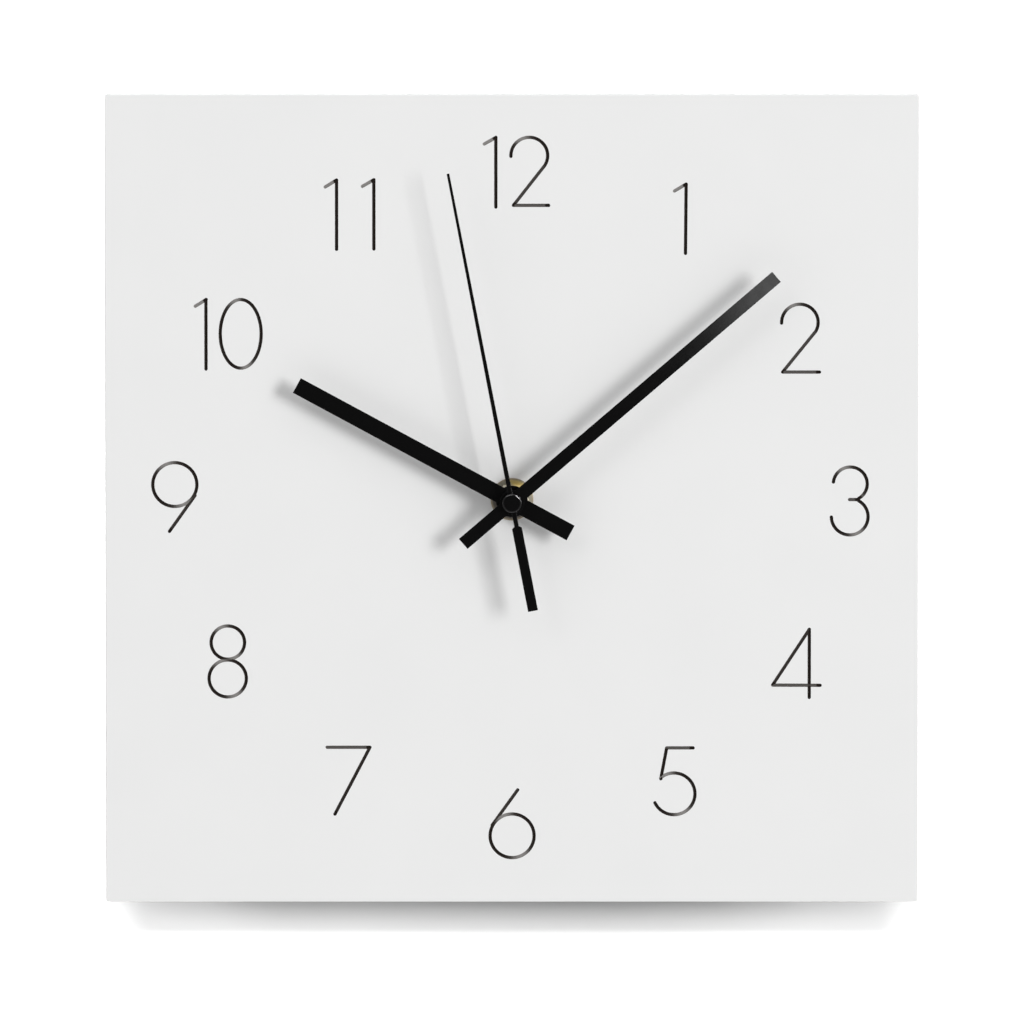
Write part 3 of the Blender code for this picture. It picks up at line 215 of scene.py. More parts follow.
def charred_groove_with_sheen():
    """The engraved numerals' burnt floor: black char, paled by a painted sheen where the dial's attribute
    rises.
    """
    grain_size, grain_height, grain_share = 0.0004, 0.00003, 0.5
    # The first colour is the char's own black; the three paler ones paint a sheen.
    burnt, faint_painted_sheen = (0.011, 0.007, 0.005), (0.042, 0.036, 0.032)
    grey, brightest_painted_sheen = (0.112, 0.104, 0.098), (0.280, 0.270, 0.260)
    made = material("charred_groove_with_sheen", (0.02, 0.017, 0.015), 0.6, Specular_IOR_Level=0.12)
    # The dial's attribute is a painted sheen, which pales the char towards grey.
    painted_sheen = node(made, "ShaderNodeAttribute", attribute_name="painted_sheen").outputs["Fac"]
    grain = noise(made, grain_size, 3.0)
    tone = ramp(made, painted_sheen, [(0.0, burnt), (0.36, faint_painted_sheen), (0.55, grey), (1.0, brightest_painted_sheen)])
    flecks = ramp(made, grain, [(0.3, 0.6), (0.7, 1.0)])
    return dress(
        made,
        Base_Color=mixed(made, grain_share, tone, flecks, "MULTIPLY"),
        Roughness=spread(made, grain, 0.4, 0.65),
        Normal=bump(made, grain, grain_height),
    )


def black_enamel(name, roughness, patch_size):
    """Stoved black enamel on sheet metal: patches of a different gloss, and specks of dust under it."""
    dust_size, dust_height = 0.0008, 0.000003
    glossier, duller = roughness - 0.04, roughness + 0.05
    bluish, brownish = (0.0018, 0.0018, 0.0020), (0.0036, 0.0035, 0.0034)
    made = material(name, (0.003, 0.003, 0.003), roughness, Specular_IOR_Level=0.45)
    dust = noise(made, dust_size)
    return dress(
        made,
        Base_Color=mixed(made, dust, bluish, brownish),
        Roughness=spread(made, noise(made, patch_size, 3.0), glossier, duller),
        Normal=bump(made, dust, dust_height),
    )


def turned_brass():
    """Brass with the lathe's rings: gold at the top, with a painted highlight in cream and painted shade in
    grey brown lower down.

    Its height is measured along a slant, which leans to the right, so the cream lies to the right and the
    painted shade to the lower left and below. Towards the rim it turns a darker brown.
    """
    ring_pitch, ring_height, stain_size = 0.00045, 0.000006, 0.003
    slant, rim_start, rim_full = (0.5, 0, 0.87), 0.0069, 0.0076
    painted_shade_height, painted_highlight_height, gold_start, gold_full = -0.0030, 0.0030, 0.0045, 0.0054
    gold, pale_gold = (0.74, 0.58, 0.22), (0.88, 0.73, 0.34)
    # Of these, the grey brown is painted shade and the cream a painted highlight.
    painted_shade_brown, painted_highlight_cream, rim = (0.20, 0.18, 0.155), (0.46, 0.43, 0.34), (0.42, 0.36, 0.27)
    made = material("turned_brass", (0.72, 0.54, 0.22), 0.42, 1.0)
    from_axis = node(made, "ShaderNodeVectorMath", [(0, place(made, (1, 0, 1)))], operation="LENGTH")
    radius = from_axis.outputs["Value"]
    slanted = node(made, "ShaderNodeVectorMath", [(0, place(made))], operation="DOT_PRODUCT")
    slanted.inputs[1].default_value = slant
    upwards = slanted.outputs["Value"]
    stain = noise(made, stain_size, 4.0)
    # Painted shade and a painted highlight by the height along the slant, with gold above them.
    painted_shade_and_highlight = mixed(made, between(made, upwards, painted_shade_height, painted_highlight_height), painted_shade_brown, painted_highlight_cream)
    bright = mixed(made, stain, gold, pale_gold)
    gold_over_painted_light = mixed(made, between(made, upwards, gold_start, gold_full), painted_shade_and_highlight, bright)
    return dress(
        made,
        Base_Color=mixed(made, between(made, radius, rim_start, rim_full), gold_over_painted_light, rim),
        Roughness=spread(made, stain, 0.40, 0.54),
        Normal=bump(made, ripples(made, radius, ring_pitch), ring_height),
    )


def moulded(name, colour, roughness, texture, subsurface=0.0):
    """Moulded plastic with a spark-eroded texture of this height and slow changes of gloss and tone."""
    grain_size, flow_size, gloss_change, depth = 0.00035, 0.009, 0.06, 0.001
    made = material(name, colour, roughness, Subsurface_Weight=subsurface, Subsurface_Scale=depth)
    flow = noise(made, flow_size, 3.0)
    paler = tuple(min(1, part * 1.25 + 0.004) for part in colour)
    return dress(
        made,
        Base_Color=mixed(made, flow, colour, paler),
        Roughness=spread(made, flow, roughness - gloss_change, roughness + gloss_change),
        Normal=bump(made, noise(made, grain_size, 3.0), texture),
    )


def sheet_metal(name, colour, roughness, stretch):
    """Rolled sheet: fine scratches along the axis of least stretch, and faint stains."""
    scratch_size, scratch_height, stain_size, gloss_change = 0.0005, 0.000008, 0.006, 0.1
    made = material(name, colour, roughness, 1.0)
    scratches = noise(made, scratch_size, 4.0, stretch)
    darker = tuple(part * 0.8 for part in colour)
    return dress(
        made,
        Base_Color=mixed(made, noise(made, stain_size, 4.0), darker, colour),
        Roughness=spread(made, scratches, roughness - gloss_change, roughness + gloss_change),
        Normal=bump(made, scratches, scratch_height),
    )


def black_rubber():
    """Matt rubber with a bloom of grey and a fine grain."""
    bloom_size, grain_size, grain_height = 0.004, 0.0006, 0.00004
    black, bloomed = (0.015, 0.015, 0.015), (0.04, 0.04, 0.04)
    made = material("black_rubber", (0.02, 0.02, 0.02), 0.8)
    return dress(
        made,
        Base_Color=mixed(made, noise(made, bloom_size), black, bloomed),
        Normal=bump(made, noise(made, grain_size, 4.0), grain_height),
    )


def enamelled_wire():
    """Fine enamelled wire, wound in close turns up the bobbin."""
    turn_pitch, turn_height, patch_size = 0.00016, 0.00004, 0.001
    dark, bright = (0.50, 0.16, 0.05), (0.75, 0.33, 0.14)
    made = material("enamelled_wire", (0.65, 0.25, 0.10), 0.3, 1.0, Coat_Weight=0.5)
    turns = ripples(made, part_of(made, place(made), "Z"), turn_pitch)
    return dress(
        made,
        Base_Color=mixed(made, noise(made, patch_size), dark, bright),
        Normal=bump(made, turns, turn_height),
    )


def solder_mask():
    """Green solder mask over copper tracks."""
    tracks_per_metre, track_height, gloss_size = 420.0, 0.00002, 0.001
    made = material("solder_mask", (0.04, 0.20, 0.08), 0.35)
    tracks = node(
        made,
        "ShaderNodeTexBrick",
        [("Vector", place(made, (1, 0, 1)))],
        Scale=tracks_per_metre,
        Mortar_Size=0.06,
        Color1=(0.03, 0.17, 0.06, 1),
        Color2=(0.035, 0.19, 0.07, 1),
        Mortar=(0.07, 0.30, 0.12, 1),
    )
    return dress(
        made,
        Base_Color=tracks.outputs["Color"],
        Roughness=spread(made, noise(made, gloss_size), 0.3, 0.45),
        Normal=bump(made, tracks.outputs["Fac"], track_height),
    )


def battery_sleeve():
    """A plain sleeve: satin grey with a darker grey band at the positive end."""
    band_start, gloss_size, wrinkle_size, wrinkle_height = 0.0135, 0.004, 0.0012, 0.00001
    grey, dark_grey = (0.30, 0.31, 0.33), (0.09, 0.10, 0.11)
    made = material("battery_jacket", grey, 0.28, 0.25, Coat_Weight=0.4)
    band = maths(made, "GREATER_THAN", part_of(made, place(made), "X"), band_start)
    return dress(
        made,
        Base_Color=mixed(made, band, grey, dark_grey),
        Roughness=spread(made, noise(made, gloss_size, 3.0), 0.24, 0.36),
        Normal=bump(made, noise(made, wrinkle_size, 3.0), wrinkle_height),
    )


WHITE = white_lacquer()
CHAR_AND_SHEEN = charred_groove_with_sheen()
ENAMEL = black_enamel("satin_enamel", roughness=0.17, patch_size=0.003)
GLOSS = black_enamel("gloss_enamel", roughness=0.11, patch_size=0.002)
BRASS = turned_brass()
CASE = moulded("case_plastic", (0.026, 0.026, 0.028), roughness=0.45, texture=0.00003)
KNOB = moulded("knob_plastic", (0.036, 0.036, 0.039), roughness=0.40, texture=0.00002)
ACETAL = moulded("natural_acetal", (0.74, 0.72, 0.65), roughness=0.38, texture=0.000006, subsurface=0.3)
EPOXY = moulded("chip_epoxy", (0.012, 0.012, 0.012), roughness=0.3, texture=0.00001)
STEEL = sheet_metal("rolled_steel", (0.56, 0.56, 0.57), roughness=0.34, stretch=(1, 1, 0.06))
NICKEL = sheet_metal("nickelled_strip", (0.66, 0.64, 0.58), roughness=0.25, stretch=(1, 0.06, 1))
IRON = sheet_metal("silicon_iron", (0.42, 0.42, 0.44), roughness=0.38, stretch=(0.06, 1, 1))
RUBBER = black_rubber()
WIRE = enamelled_wire()
MASK = solder_mask()
SLEEVE = battery_sleeve()


# Meshes
def finished(name, mesh, materials, body, stands_for, smooth=30):
    """The mesh as a piece: merged, closed, facing outwards, smooth but for its sharp edges."""
    shape = bmesh.new()
    shape.from_mesh(mesh)
    bmesh.ops.remove_doubles(shape, verts=shape.verts, dist=MERGED)
    bmesh.ops.recalc_face_normals(shape, faces=shape.faces)
    shape.to_mesh(mesh)
    shape.free()
    mesh.shade_smooth()
    mesh.set_sharp_from_angle(angle=radians(smooth))
    for each in materials:
        mesh.materials.append(each)
    made = bpy.data.objects.new(name, mesh)
    scene.collection.objects.link(made)
    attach(made, body)
    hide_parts(stands_for)
    return made


def grid_mesh(name, points, close_rows=True, close_columns=False, column_materials=None):
    """Quads over a grid of points [row, column, xyz]. A closed grid joins its last line to its first."""
    rows, columns = points.shape[:2]
    index = np.arange(rows * columns).reshape(rows, columns)
    if close_rows:
        index = np.vstack([index, index[:1]])
    if close_columns:
        index = np.hstack([index, index[:, :1]])
    quads = np.stack([index[:-1, :-1], index[1:, :-1], index[1:, 1:], index[:-1, 1:]], axis=-1)
    mesh = bpy.data.meshes.new(name)
    mesh.from_pydata(points.reshape(-1, 3).tolist(), [], quads.reshape(-1, 4).tolist())
    if column_materials is not None:
        per_face = np.broadcast_to(np.asarray(column_materials)[: quads.shape[1]], quads.shape[:2])
        mesh.polygons.foreach_set("material_index", per_face.reshape(-1).astype(np.int32))
    return mesh


def vertex_places(mesh):
    """The mesh's vertices as an array of x, y and z."""
    places = np.empty(len(mesh.vertices) * 3)
    mesh.vertices.foreach_get("co", places)
    return places.reshape(-1, 3)


def eased(profile, radius, steps=4, closed=False):
    """A profile whose corners are replaced by parabolas B(t) = (1-t)^2 S + 2t(1-t) P + t^2 E.

    S and E lie on the two sides of the corner P, at most 45% of a side away from it.
    """
    longest_share, shortest = 0.45, 1e-9
    corners = np.asarray(profile, float)
    before, after = np.roll(corners, 1, 0), np.roll(corners, -1, 0)
    t = np.linspace(0, 1, steps + 1)[None, :, None]

    def side(other):
        """Where the parabola leaves the side that runs from the corner to another one."""
        away = other - corners
        length = np.maximum(np.linalg.norm(away, axis=1, keepdims=True), shortest)
        return corners + away / length * np.minimum(radius, longest_share * length)

    start, end = side(before)[:, None], side(after)[:, None]
    curve = (1 - t) ** 2 * start + 2 * t * (1 - t) * corners[:, None] + t**2 * end
    if not closed:
        curve[0], curve[-1] = corners[0], corners[-1]
    return curve.reshape(-1, 2)


def lathed(name, profile, centre=(0, 0), steps=96, loop=False, column_materials=None, swell=None):
    """The profile of radii and levels (r, h) turned about Y: P(a, j) = (cx + r cos a, -h, cz + r sin a).

    swell(a, r, h), where it is given, changes the radius.
    """
    profile = np.asarray(profile, float)
    angle = np.arange(steps)[:, None] * 2 * pi / steps
    radius, level = profile[None, :, 0], profile[None, :, 1]
    if swell:
        radius = swell(angle, radius, level)
    x = centre[0] + radius * np.cos(angle)
    z = centre[1] + radius * np.sin(angle)
    y = np.broadcast_to(-level, x.shape)
    return grid_mesh(name, np.stack([x, y, z], axis=-1), True, loop, column_materials)


def refined(node_name, width, made_of, body, seats=()):
    """A CAD node's merged copy with its edges broken by a Bevel modifier. It stands for the node.

    Each seat is a level of the copy and the level that it moves to, where it rests on its neighbour.
    """
    sharpest, flat_within, joined = 30, 0.5, 1e-6
    shape = bmesh.new()
    shape.from_mesh(nodes[node_name].data)
    bmesh.ops.remove_doubles(shape, verts=shape.verts, dist=joined)
    bmesh.ops.dissolve_limit(shape, angle_limit=radians(flat_within), verts=shape.verts, edges=shape.edges)
    for modelled, seated in seats:
        for vertex in shape.verts:
            if abs(vertex.co.y + modelled) < SAME_LEVEL:
                vertex.co.y = -seated
    mesh = bpy.data.meshes.new(f"{node_name}_look")
    shape.to_mesh(mesh)
    shape.free()
    made = finished(f"{node_name}_look", mesh, [made_of], body, node_name, sharpest)
    bevel = made.modifiers.new("broken edges", "BEVEL")
    bevel.width = width
    bevel.segments = 2
    bevel.limit_method = "ANGLE"
    bevel.angle_limit = radians(sharpest)
    bevel.harden_normals = True
    return made


def paint(made_of, *names):
    """Gives CAD nodes that stay a better material."""
    for name in names:
        for slot in nodes[name].material_slots:
            slot.link = "OBJECT"
            slot.material = made_of


# The dial's numerals, drawn in the photograph's pixels
PIXEL = 0.0003701
PHOTO_CENTRE = (511.3, 497.3)
ARC_STEP = 7
FEWEST_ARC_POINTS = 6


def on_dial(points):
    """Points of the photograph, in pixels, as x and z on the dial."""
    points = np.asarray(points, float)
    return (points - PHOTO_CENTRE) * (PIXEL, -PIXEL)


def line(*points):
    """A straight stroke from point to point."""
    return on_dial(points)


def bow(centre, radius, start, end, *more):
    """An arc about a centre, in pixels and degrees clockwise from the right, then straight on to more points.

    Its points are (cx + rx cos a, cy + ry sin a). The radius may be one number or two.
    """
    radius_x, radius_y = radius if isinstance(radius, tuple) else (radius, radius)
    count = max(FEWEST_ARC_POINTS, int(abs(end - start) / ARC_STEP))
    angle = np.radians(np.linspace(start, end, count))
    curve = np.stack([centre[0] + radius_x * np.cos(angle), centre[1] + radius_y * np.sin(angle)], axis=-1)
    return on_dial(np.vstack([curve, *[[point] for point in more]]))


# Three sets of strokes: those within a set never cross.
STROKES = (
    [
        line((483.7, 141.4), (495.3, 134.8)),
        bow((528.5, 153.0), 18.3, 177.5, 392, (512.7, 202.8)),
        line((673.0, 188.4), (684.6, 181.5)),
        bow((798.0, 320.0), 18.2, 177.8, 389, (780.9, 369.8)),
        bow((848.5, 482.0), 16.9, 186, 420),
        line((807.9, 628.1), (807.9, 696.7)),
        line((665.7, 747.5), (692.1, 747.5)),
        bow((673.0, 793.8), 21.0, -128.8, 154.7),
        bow((511.4, 836.1), 22.0, 0, 360),
        line((326.8, 746.9), (369.5, 746.9)),
        bow((227.8, 641.5), 16.7, 0, 360),
        bow((175.2, 482.7), 22.0, 0, 360),
        line((195.9, 303.8), (206.8, 297.1)),
        bow((241.1, 331.5), (20.4, 34.4), 0, 360),
        line((325.4, 184.4), (336.7, 177.4)),
        line((362.4, 183.8), (373.9, 177.1)),
    ],
    [
        line((495.2, 135.0), (495.2, 204.5)),
        line((512.7, 202.8), (547.8, 202.8)),
        line((684.6, 181.5), (684.0, 250.9)),
        line((780.9, 369.8), (817.6, 369.8)),
        bow((848.0, 515.0), 18.3, -61.6, 179),
        line((808.0, 628.1), (771.4, 684.2)),
        line((665.7, 747.5), (659.9, 778.6)),
        line((517.0, 789.8), (491.5, 825.3)),
        line((369.5, 746.9), (334.5, 814.2)),
        bow((227.6, 677.6), 18.6, 0, 360),
        line((195.4, 493.6), (169.8, 529.7)),
        line((206.5, 297.0), (206.5, 366.8)),
        line((336.7, 177.4), (336.7, 246.8)),
        line((373.8, 177.1), (373.8, 246.5)),
    ],
    [
        line((847.8, 497.8), (856.7, 497.8)),
        line((771.4, 684.3), (818.8, 684.5)),
    ],
)
GROOVE_HALF = 0.00062
GROOVE_DEPTH = 0.00032
GROOVE_SIDES = 14
STROKE_STEP = 0.0005
# The painted sheen of the grooves: palest on strokes near this slope, and black near a stroke's end.
SHEEN_ANGLE = radians(24)
SHEEN_SHARPNESS = 7
SHEEN_END = 0.0010
SHEEN_FADE = 0.0004


def is_ring(path):
    """Whether a stroke ends where it starts."""
    return np.linalg.norm(path[0] - path[-1]) < MERGED


def densified(path):
    """The path with a point at least every STROKE_STEP."""
    steps = np.maximum(1, np.ceil(np.linalg.norm(np.diff(path, axis=0), axis=1) / STROKE_STEP).astype(int))
    along = np.concatenate([[0], np.cumsum(steps)])
    wanted = np.arange(along[-1] + 1)
    return np.stack([np.interp(wanted, along, path[:, k]) for k in (0, 1)], axis=-1)


def stroke_cutter(path):
    """A closed tube along the path in the dial's face: P(s, a) = C(s) + w(s) (A cos a n(s) + B sin a y).

    A is GROOVE_HALF, B is GROOVE_DEPTH and n points across the path. w falls as cos(e) towards the round
    ends, where C runs on by A sin(e). A ring has no ends.
    """
    ring = is_ring(path)
    centre = densified(path)
    if ring:
        centre = centre[:-1]
        ahead = np.roll(centre, -1, 0) - np.roll(centre, 1, 0)
    else:
        ahead = np.gradient(centre, axis=0)
    ahead /= np.linalg.norm(ahead, axis=1, keepdims=True)
    width = np.ones(len(centre))
    if not ring:
        end = np.radians([22.5, 45, 67.5, 90])
        run, shrink = (GROOVE_HALF * np.sin(end))[:, None], np.cos(end)
        centre = np.vstack([(centre[0] - run * ahead[0])[::-1], centre, centre[-1] + run * ahead[-1]])
        ahead = np.vstack([np.repeat(ahead[:1], len(end), 0), ahead, np.repeat(ahead[-1:], len(end), 0)])
        width = np.concatenate([shrink[::-1], width, shrink])
    normal = np.stack([-ahead[:, 1], ahead[:, 0]], axis=-1)
    angle = np.arange(GROOVE_SIDES) * 2 * pi / GROOVE_SIDES
    across = width[:, None] * GROOVE_HALF * np.cos(angle)
    x = centre[:, None, 0] + across * normal[:, None, 0]
    z = centre[:, None, 1] + across * normal[:, None, 1]
    y = -BOARD_FRONT + width[:, None] * GROOVE_DEPTH * np.sin(angle) + np.zeros_like(x)
    return grid_mesh("stroke", np.stack([x, y, z], axis=-1), ring, True)


def painted_sheen_tone(points):
    """A painted sheen at points on the dial: |cos(slope - a)|^k of the nearest stroke, a and k its angle and
    sharpness.

    So it is palest on strokes that rise to the right, as a lit groove would be. It fades to black where a
    stroke ends.
    """
    centres, slopes, fades = [], [], []
    for path in (path for group in STROKES for path in group):
        dense = densified(path)
        ahead = np.gradient(dense, axis=0)
        left = np.linalg.norm(dense - dense[-1], axis=1)
        centres.append(dense)
        slopes.append(np.arctan2(ahead[:, 1], ahead[:, 0]))
        fades.append(np.ones(len(dense)) if is_ring(path) else np.clip((left - SHEEN_END) / SHEEN_FADE, 0, 1))
    centres, slopes, fades = np.vstack(centres), np.concatenate(slopes), np.concatenate(fades)
    near = np.argmin(((points[:, None] - centres[None]) ** 2).sum(-1), axis=1)
    lean = np.abs(np.cos(slopes[near] - SHEEN_ANGLE)) ** SHEEN_SHARPNESS
    return lean * fades[near]


# The dial
def board_outline(inset):
    """A rounded square, inset: four corner arcs C + (corner - inset) (cos a, sin a)."""
    angle = np.radians(np.linspace(0, 90, CORNER_POINTS))[None] + np.radians([0, 90, 180, 270])[:, None]
    middle = (BOARD_HALF - BOARD_CORNER) * np.array([[1, 1], [-1, 1], [-1, -1], [1, -1]])[:, None]
    reach = BOARD_CORNER - inset
    return (middle + reach * np.stack([np.cos(angle), np.sin(angle)], axis=-1)).reshape(-1, 2)


def dial_slab():
    """A slab lofted from its bore over its face, eased edges, sides and back: rings of outline and level."""
    count = 4 * CORNER_POINTS
    angle = (np.arange(count) + 0.5) * 2 * pi / count
    bore = STACK_BORE * np.stack([np.cos(angle), np.sin(angle)], axis=-1)
    turn = np.radians([0, 22.5, 45, 67.5, 90])
    rings = [(bore, BOARD_BACK), (bore, BOARD_FRONT)]
    for a in turn:
        rings.append((board_outline(BOARD_EASE * (1 - sin(a))), BOARD_FRONT - BOARD_EASE * (1 - cos(a))))
    for a in turn:
        rings.append((board_outline(BOARD_EASE * (1 - cos(a))), BOARD_BACK + BOARD_EASE * (1 - sin(a))))
    flat = np.stack([outline for outline, _ in rings], axis=1)
    y = np.broadcast_to(-np.array([level for _, level in rings])[None, :, None], (count, len(rings), 1))
    return grid_mesh("dial_look", np.concatenate([flat[..., :1], y, flat[..., 1:]], axis=-1), True, True)


def stroke_set(paths):
    """One object with the cutters of a set of strokes."""
    shape = bmesh.new()
    for path in paths:
        shape.from_mesh(stroke_cutter(path))
    bmesh.ops.remove_doubles(shape, verts=shape.verts, dist=MERGED)
    bmesh.ops.recalc_face_normals(shape, faces=shape.faces)
    mesh = bpy.data.meshes.new("strokes")
    shape.to_mesh(mesh)
    shape.free()
    mesh.materials.append(CHAR_AND_SHEEN)
    made = bpy.data.objects.new("strokes", mesh)
    scene.collection.objects.link(made)
    return made


def engraved(made):
    """The object's mesh with every set of strokes cut out of it. The cuts keep the charred groove's material.
    """
    cutters = [stroke_set(paths) for paths in STROKES]
    for cutter in cutters:
        cut = made.modifiers.new("engraving", "BOOLEAN")
        cut.operation = "DIFFERENCE"
        cut.object = cutter
        cut.solver = "EXACT"
        cut.material_mode = "TRANSFER"
    graph = bpy.context.evaluated_depsgraph_get()
    carved = bpy.data.meshes.new_from_object(made.evaluated_get(graph))
    made.modifiers.clear()
    for cutter in cutters:
        bpy.data.objects.remove(cutter, do_unlink=True)
    return carved


def dial():
    """The engraved board. Its flat faces are shaded flat, and its grooves' points carry a painted sheen."""
    flat_facing, past_floor = 0.9999, 1.2
    made = finished("dial_look", dial_slab(), [WHITE, CHAR_AND_SHEEN], "clock_body", "dial_board")
    carved = engraved(made)
    carved.shade_smooth()
    carved.set_sharp_from_angle(angle=radians(30))
    facing = np.empty(len(carved.polygons) * 3)
    carved.polygons.foreach_get("normal", facing)
    round_faces = np.abs(facing.reshape(-1, 3)).max(axis=1) < flat_facing
    carved.polygons.foreach_set("use_smooth", round_faces)
    made.data = carved
    places = vertex_places(carved)
    front = places[:, 1] < -BOARD_FRONT + GROOVE_DEPTH * past_floor
    # Each groove point's painted sheen, which the groove's material reads.
    tone = np.zeros(len(places))
    tone[front] = painted_sheen_tone(places[front][:, [0, 2]])
    carved.attributes.new("painted_sheen", "FLOAT", "POINT").data.foreach_set("value", tone)


# The stack that clamps the dial
def washer():
    """A domed washer, h(r) = front - drop ((r - flat) / (crest - flat))^1.5, with a turned groove."""
    back, front = levels("brass_washer")
    edge = half_width("brass_washer")
    drop, flat, crest = 0.00034, 0.0046, 0.0078
    groove_depth, bore_ease, rim_ease, ease = 0.00005, 0.00015, 0.00008, 0.00012
    radius = np.array([0.0044, 0.0050, 0.0057, 0.0058, 0.0060, 0.0061, 0.0067, 0.0072, crest])
    groove = groove_depth * np.array([0, 0, 0, 1, 1, 0, 0, 0, 0])
    level = front - drop * (np.clip(radius - flat, 0, None) / (crest - flat)) ** 1.5 - groove
    face = np.stack([radius, level], axis=-1)
    bore = [(STACK_BORE, back), (STACK_BORE, front - bore_ease)]
    rim = [(edge, level[-1] - rim_ease), (edge, back)]
    profile = eased(np.vstack([bore, face, rim]), ease, 3, True)
    mesh = lathed("washer_look", profile, loop=True, steps=128)
    finished("washer_look", mesh, [BRASS], "clock_body", "brass_washer")


def nut():
    """A hexagon nut: r = min(hexagon, cone), where the cones are the 30 degree chamfers of both faces."""
    back, front = levels("hex_nut")
    flats = round(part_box("hex_nut")[1].z, 5)
    beyond_corners, chamfer_circle = 1.2, 0.00530
    mouth, mouth_depth = 0.0045, 0.0003
    depth = np.array([0, 0.00008, 0.0002, 0.00035, 0.0005, 0.00065])
    heights = np.concatenate([back + depth, (front - depth)[::-1]])
    outer = np.stack([np.full(len(heights), flats * beyond_corners), heights], axis=-1)
    bore = [(STACK_BORE, front - mouth_depth), (STACK_BORE, back + mouth_depth)]
    profile = np.vstack([outer, [(mouth, front)], bore, [(mouth, back)]])

    def hexagon(angle, radius, level):
        """Outside the flats: the lesser of flats / cos(a - nearest side's middle) and the chamfer's cone."""
        side = flats / np.cos(np.mod(angle, pi / 3) - pi / 6)
        cone = chamfer_circle + np.minimum(level - back, front - level) / tan(radians(30))
        return np.where(radius > flats, np.minimum(side, cone), radius)

    mesh = lathed("nut_look", profile, steps=180, loop=True, swell=hexagon)
    finished("nut_look", mesh, [BRASS], "clock_body", "hex_nut", smooth=25)


def bushing():
    """A flanged bushing with a cut thread, r = R - 2 D |frac(h / pitch - a / 2 pi) - 1/2|.

    At the end the thread is held to a cone that leads in.
    """
    back, end = levels("threaded_bushing")
    flange, flange_front = half_width("threaded_bushing"), 0.0145
    bore, thread_radius, end_radius = 0.0026, 0.0039, 0.0036
    pitch, deep, start, last = 0.00075, 0.00032, 0.01502, 0.0001
    lead_radius, lead_rise, threaded_from = 0.0035, 0.0004, 0.0037
    profile = [(bore, back), (flange, back), (flange, flange_front), (thread_radius, flange_front)]
    profile += [(thread_radius, level) for level in np.linspace(start, end - last, 150)]
    profile += [(end_radius, end), (bore, end)]

    def thread(angle, radius, level):
        """On the threaded length: the lesser of the thread's radius and the cone's at the end."""
        phase = np.mod(level / pitch - angle / (2 * pi), 1)
        cut = deep * 2 * np.abs(phase - 0.5)
        lead = np.clip((end - level) / lead_rise, 0, 1)
        on_thread = (radius > threaded_from) & (level > start) & (level < end)
        return np.where(on_thread, np.minimum(radius - cut, lead_radius + lead_rise * lead), radius)

    mesh = lathed("bushing_look", profile, steps=72, loop=True, swell=thread)
    finished("bushing_look", mesh, [BRASS], "clock_body", "threaded_bushing")


# The hands' hubs
def cap():
    """The second hand's cap: a faintly domed disc with a 17 degree bevel round it, on its tube."""
    back, front = levels("second_hand_cap")
    outer = half_width("second_hand_cap")
    crown, bevel_end, tube, bore = 0.00286, 0.00343, 0.0011, 0.0006
    dome, bevel, arris, ease = 0.00003, 0.000204, 0.0003, 0.00012
    disc_back, bore_end = front - 0.0014, front - 0.0005
    face = [(0.0, front), (crown, front - dome), (bevel_end, front - bevel), (outer, front - arris)]
    behind = [(outer, disc_back), (tube, disc_back), (tube, back)]
    profile = face + behind + [(bore, back), (bore, bore_end), (0.0, bore_end)]
    mesh = lathed("cap_look", eased(profile, ease, 5), steps=128)
    return finished("cap_look", mesh, [GLOSS], "seconds", "second_hand_cap", smooth=50)


def collar(name, body):
    """A turned collar with a rolled front edge and a groove round its middle."""
    wall, groove_depth, groove_half, floor_half, ease = 0.0010, 0.0001, 0.00015, 0.00008, 0.00012
    back, front = levels(name)
    outer, middle = half_width(name), (back + front) / 2
    inner, floor = outer - wall, outer - groove_depth
    groove = [(outer, middle + groove_half), (floor, middle + floor_half)]
    groove += [(floor, middle - floor_half), (outer, middle - groove_half)]
    profile = [(inner, back), (inner, front), (outer, front), *groove, (outer, back)]
    mesh = lathed(f"{name}_look", eased(profile, ease, 3, True), loop=True)
    finished(f"{name}_look", mesh, [ENAMEL], body, name)


# The knob and the battery
def knob():
    """The setting knob: a dished disc whose raised rim is fluted, r = R - D (1 - cos(20 a)) / 2."""
    outside, inside = levels("setting_knob")
    outer = half_width("setting_knob")
    flutes, deep, fluted_from, ease = 20, 0.0005, 0.0055, 0.00015
    seat, hub, rim, dish, button, crown = 0.00145, 0.0011, 0.0050, 0.0046, 0.0014, 0.0010
    dish_level, button_level, arris = 0.0009, 0.0007, 0.0001
    profile = [
        (0.0, seat), (hub, seat), (hub, inside), (outer, inside), (outer, outside + arris),
        (outer - arris, outside), (rim, outside), (dish, dish_level), (button, dish_level),
        (crown, button_level), (0.0, button_level),
    ]

    def fluted(angle, radius, _):
        """Flutes all round the rim, at every level: the radius less D (1 - cos(20 a)) / 2."""
        return np.where(radius > fluted_from, radius - deep * (1 - np.cos(flutes * angle)) / 2, radius)

    mesh = lathed("knob_look", eased(profile, ease, 3), KNOB_CENTRE, 240, swell=fluted)
    finished("knob_look", mesh, [KNOB], "setting", "setting_knob", smooth=40)


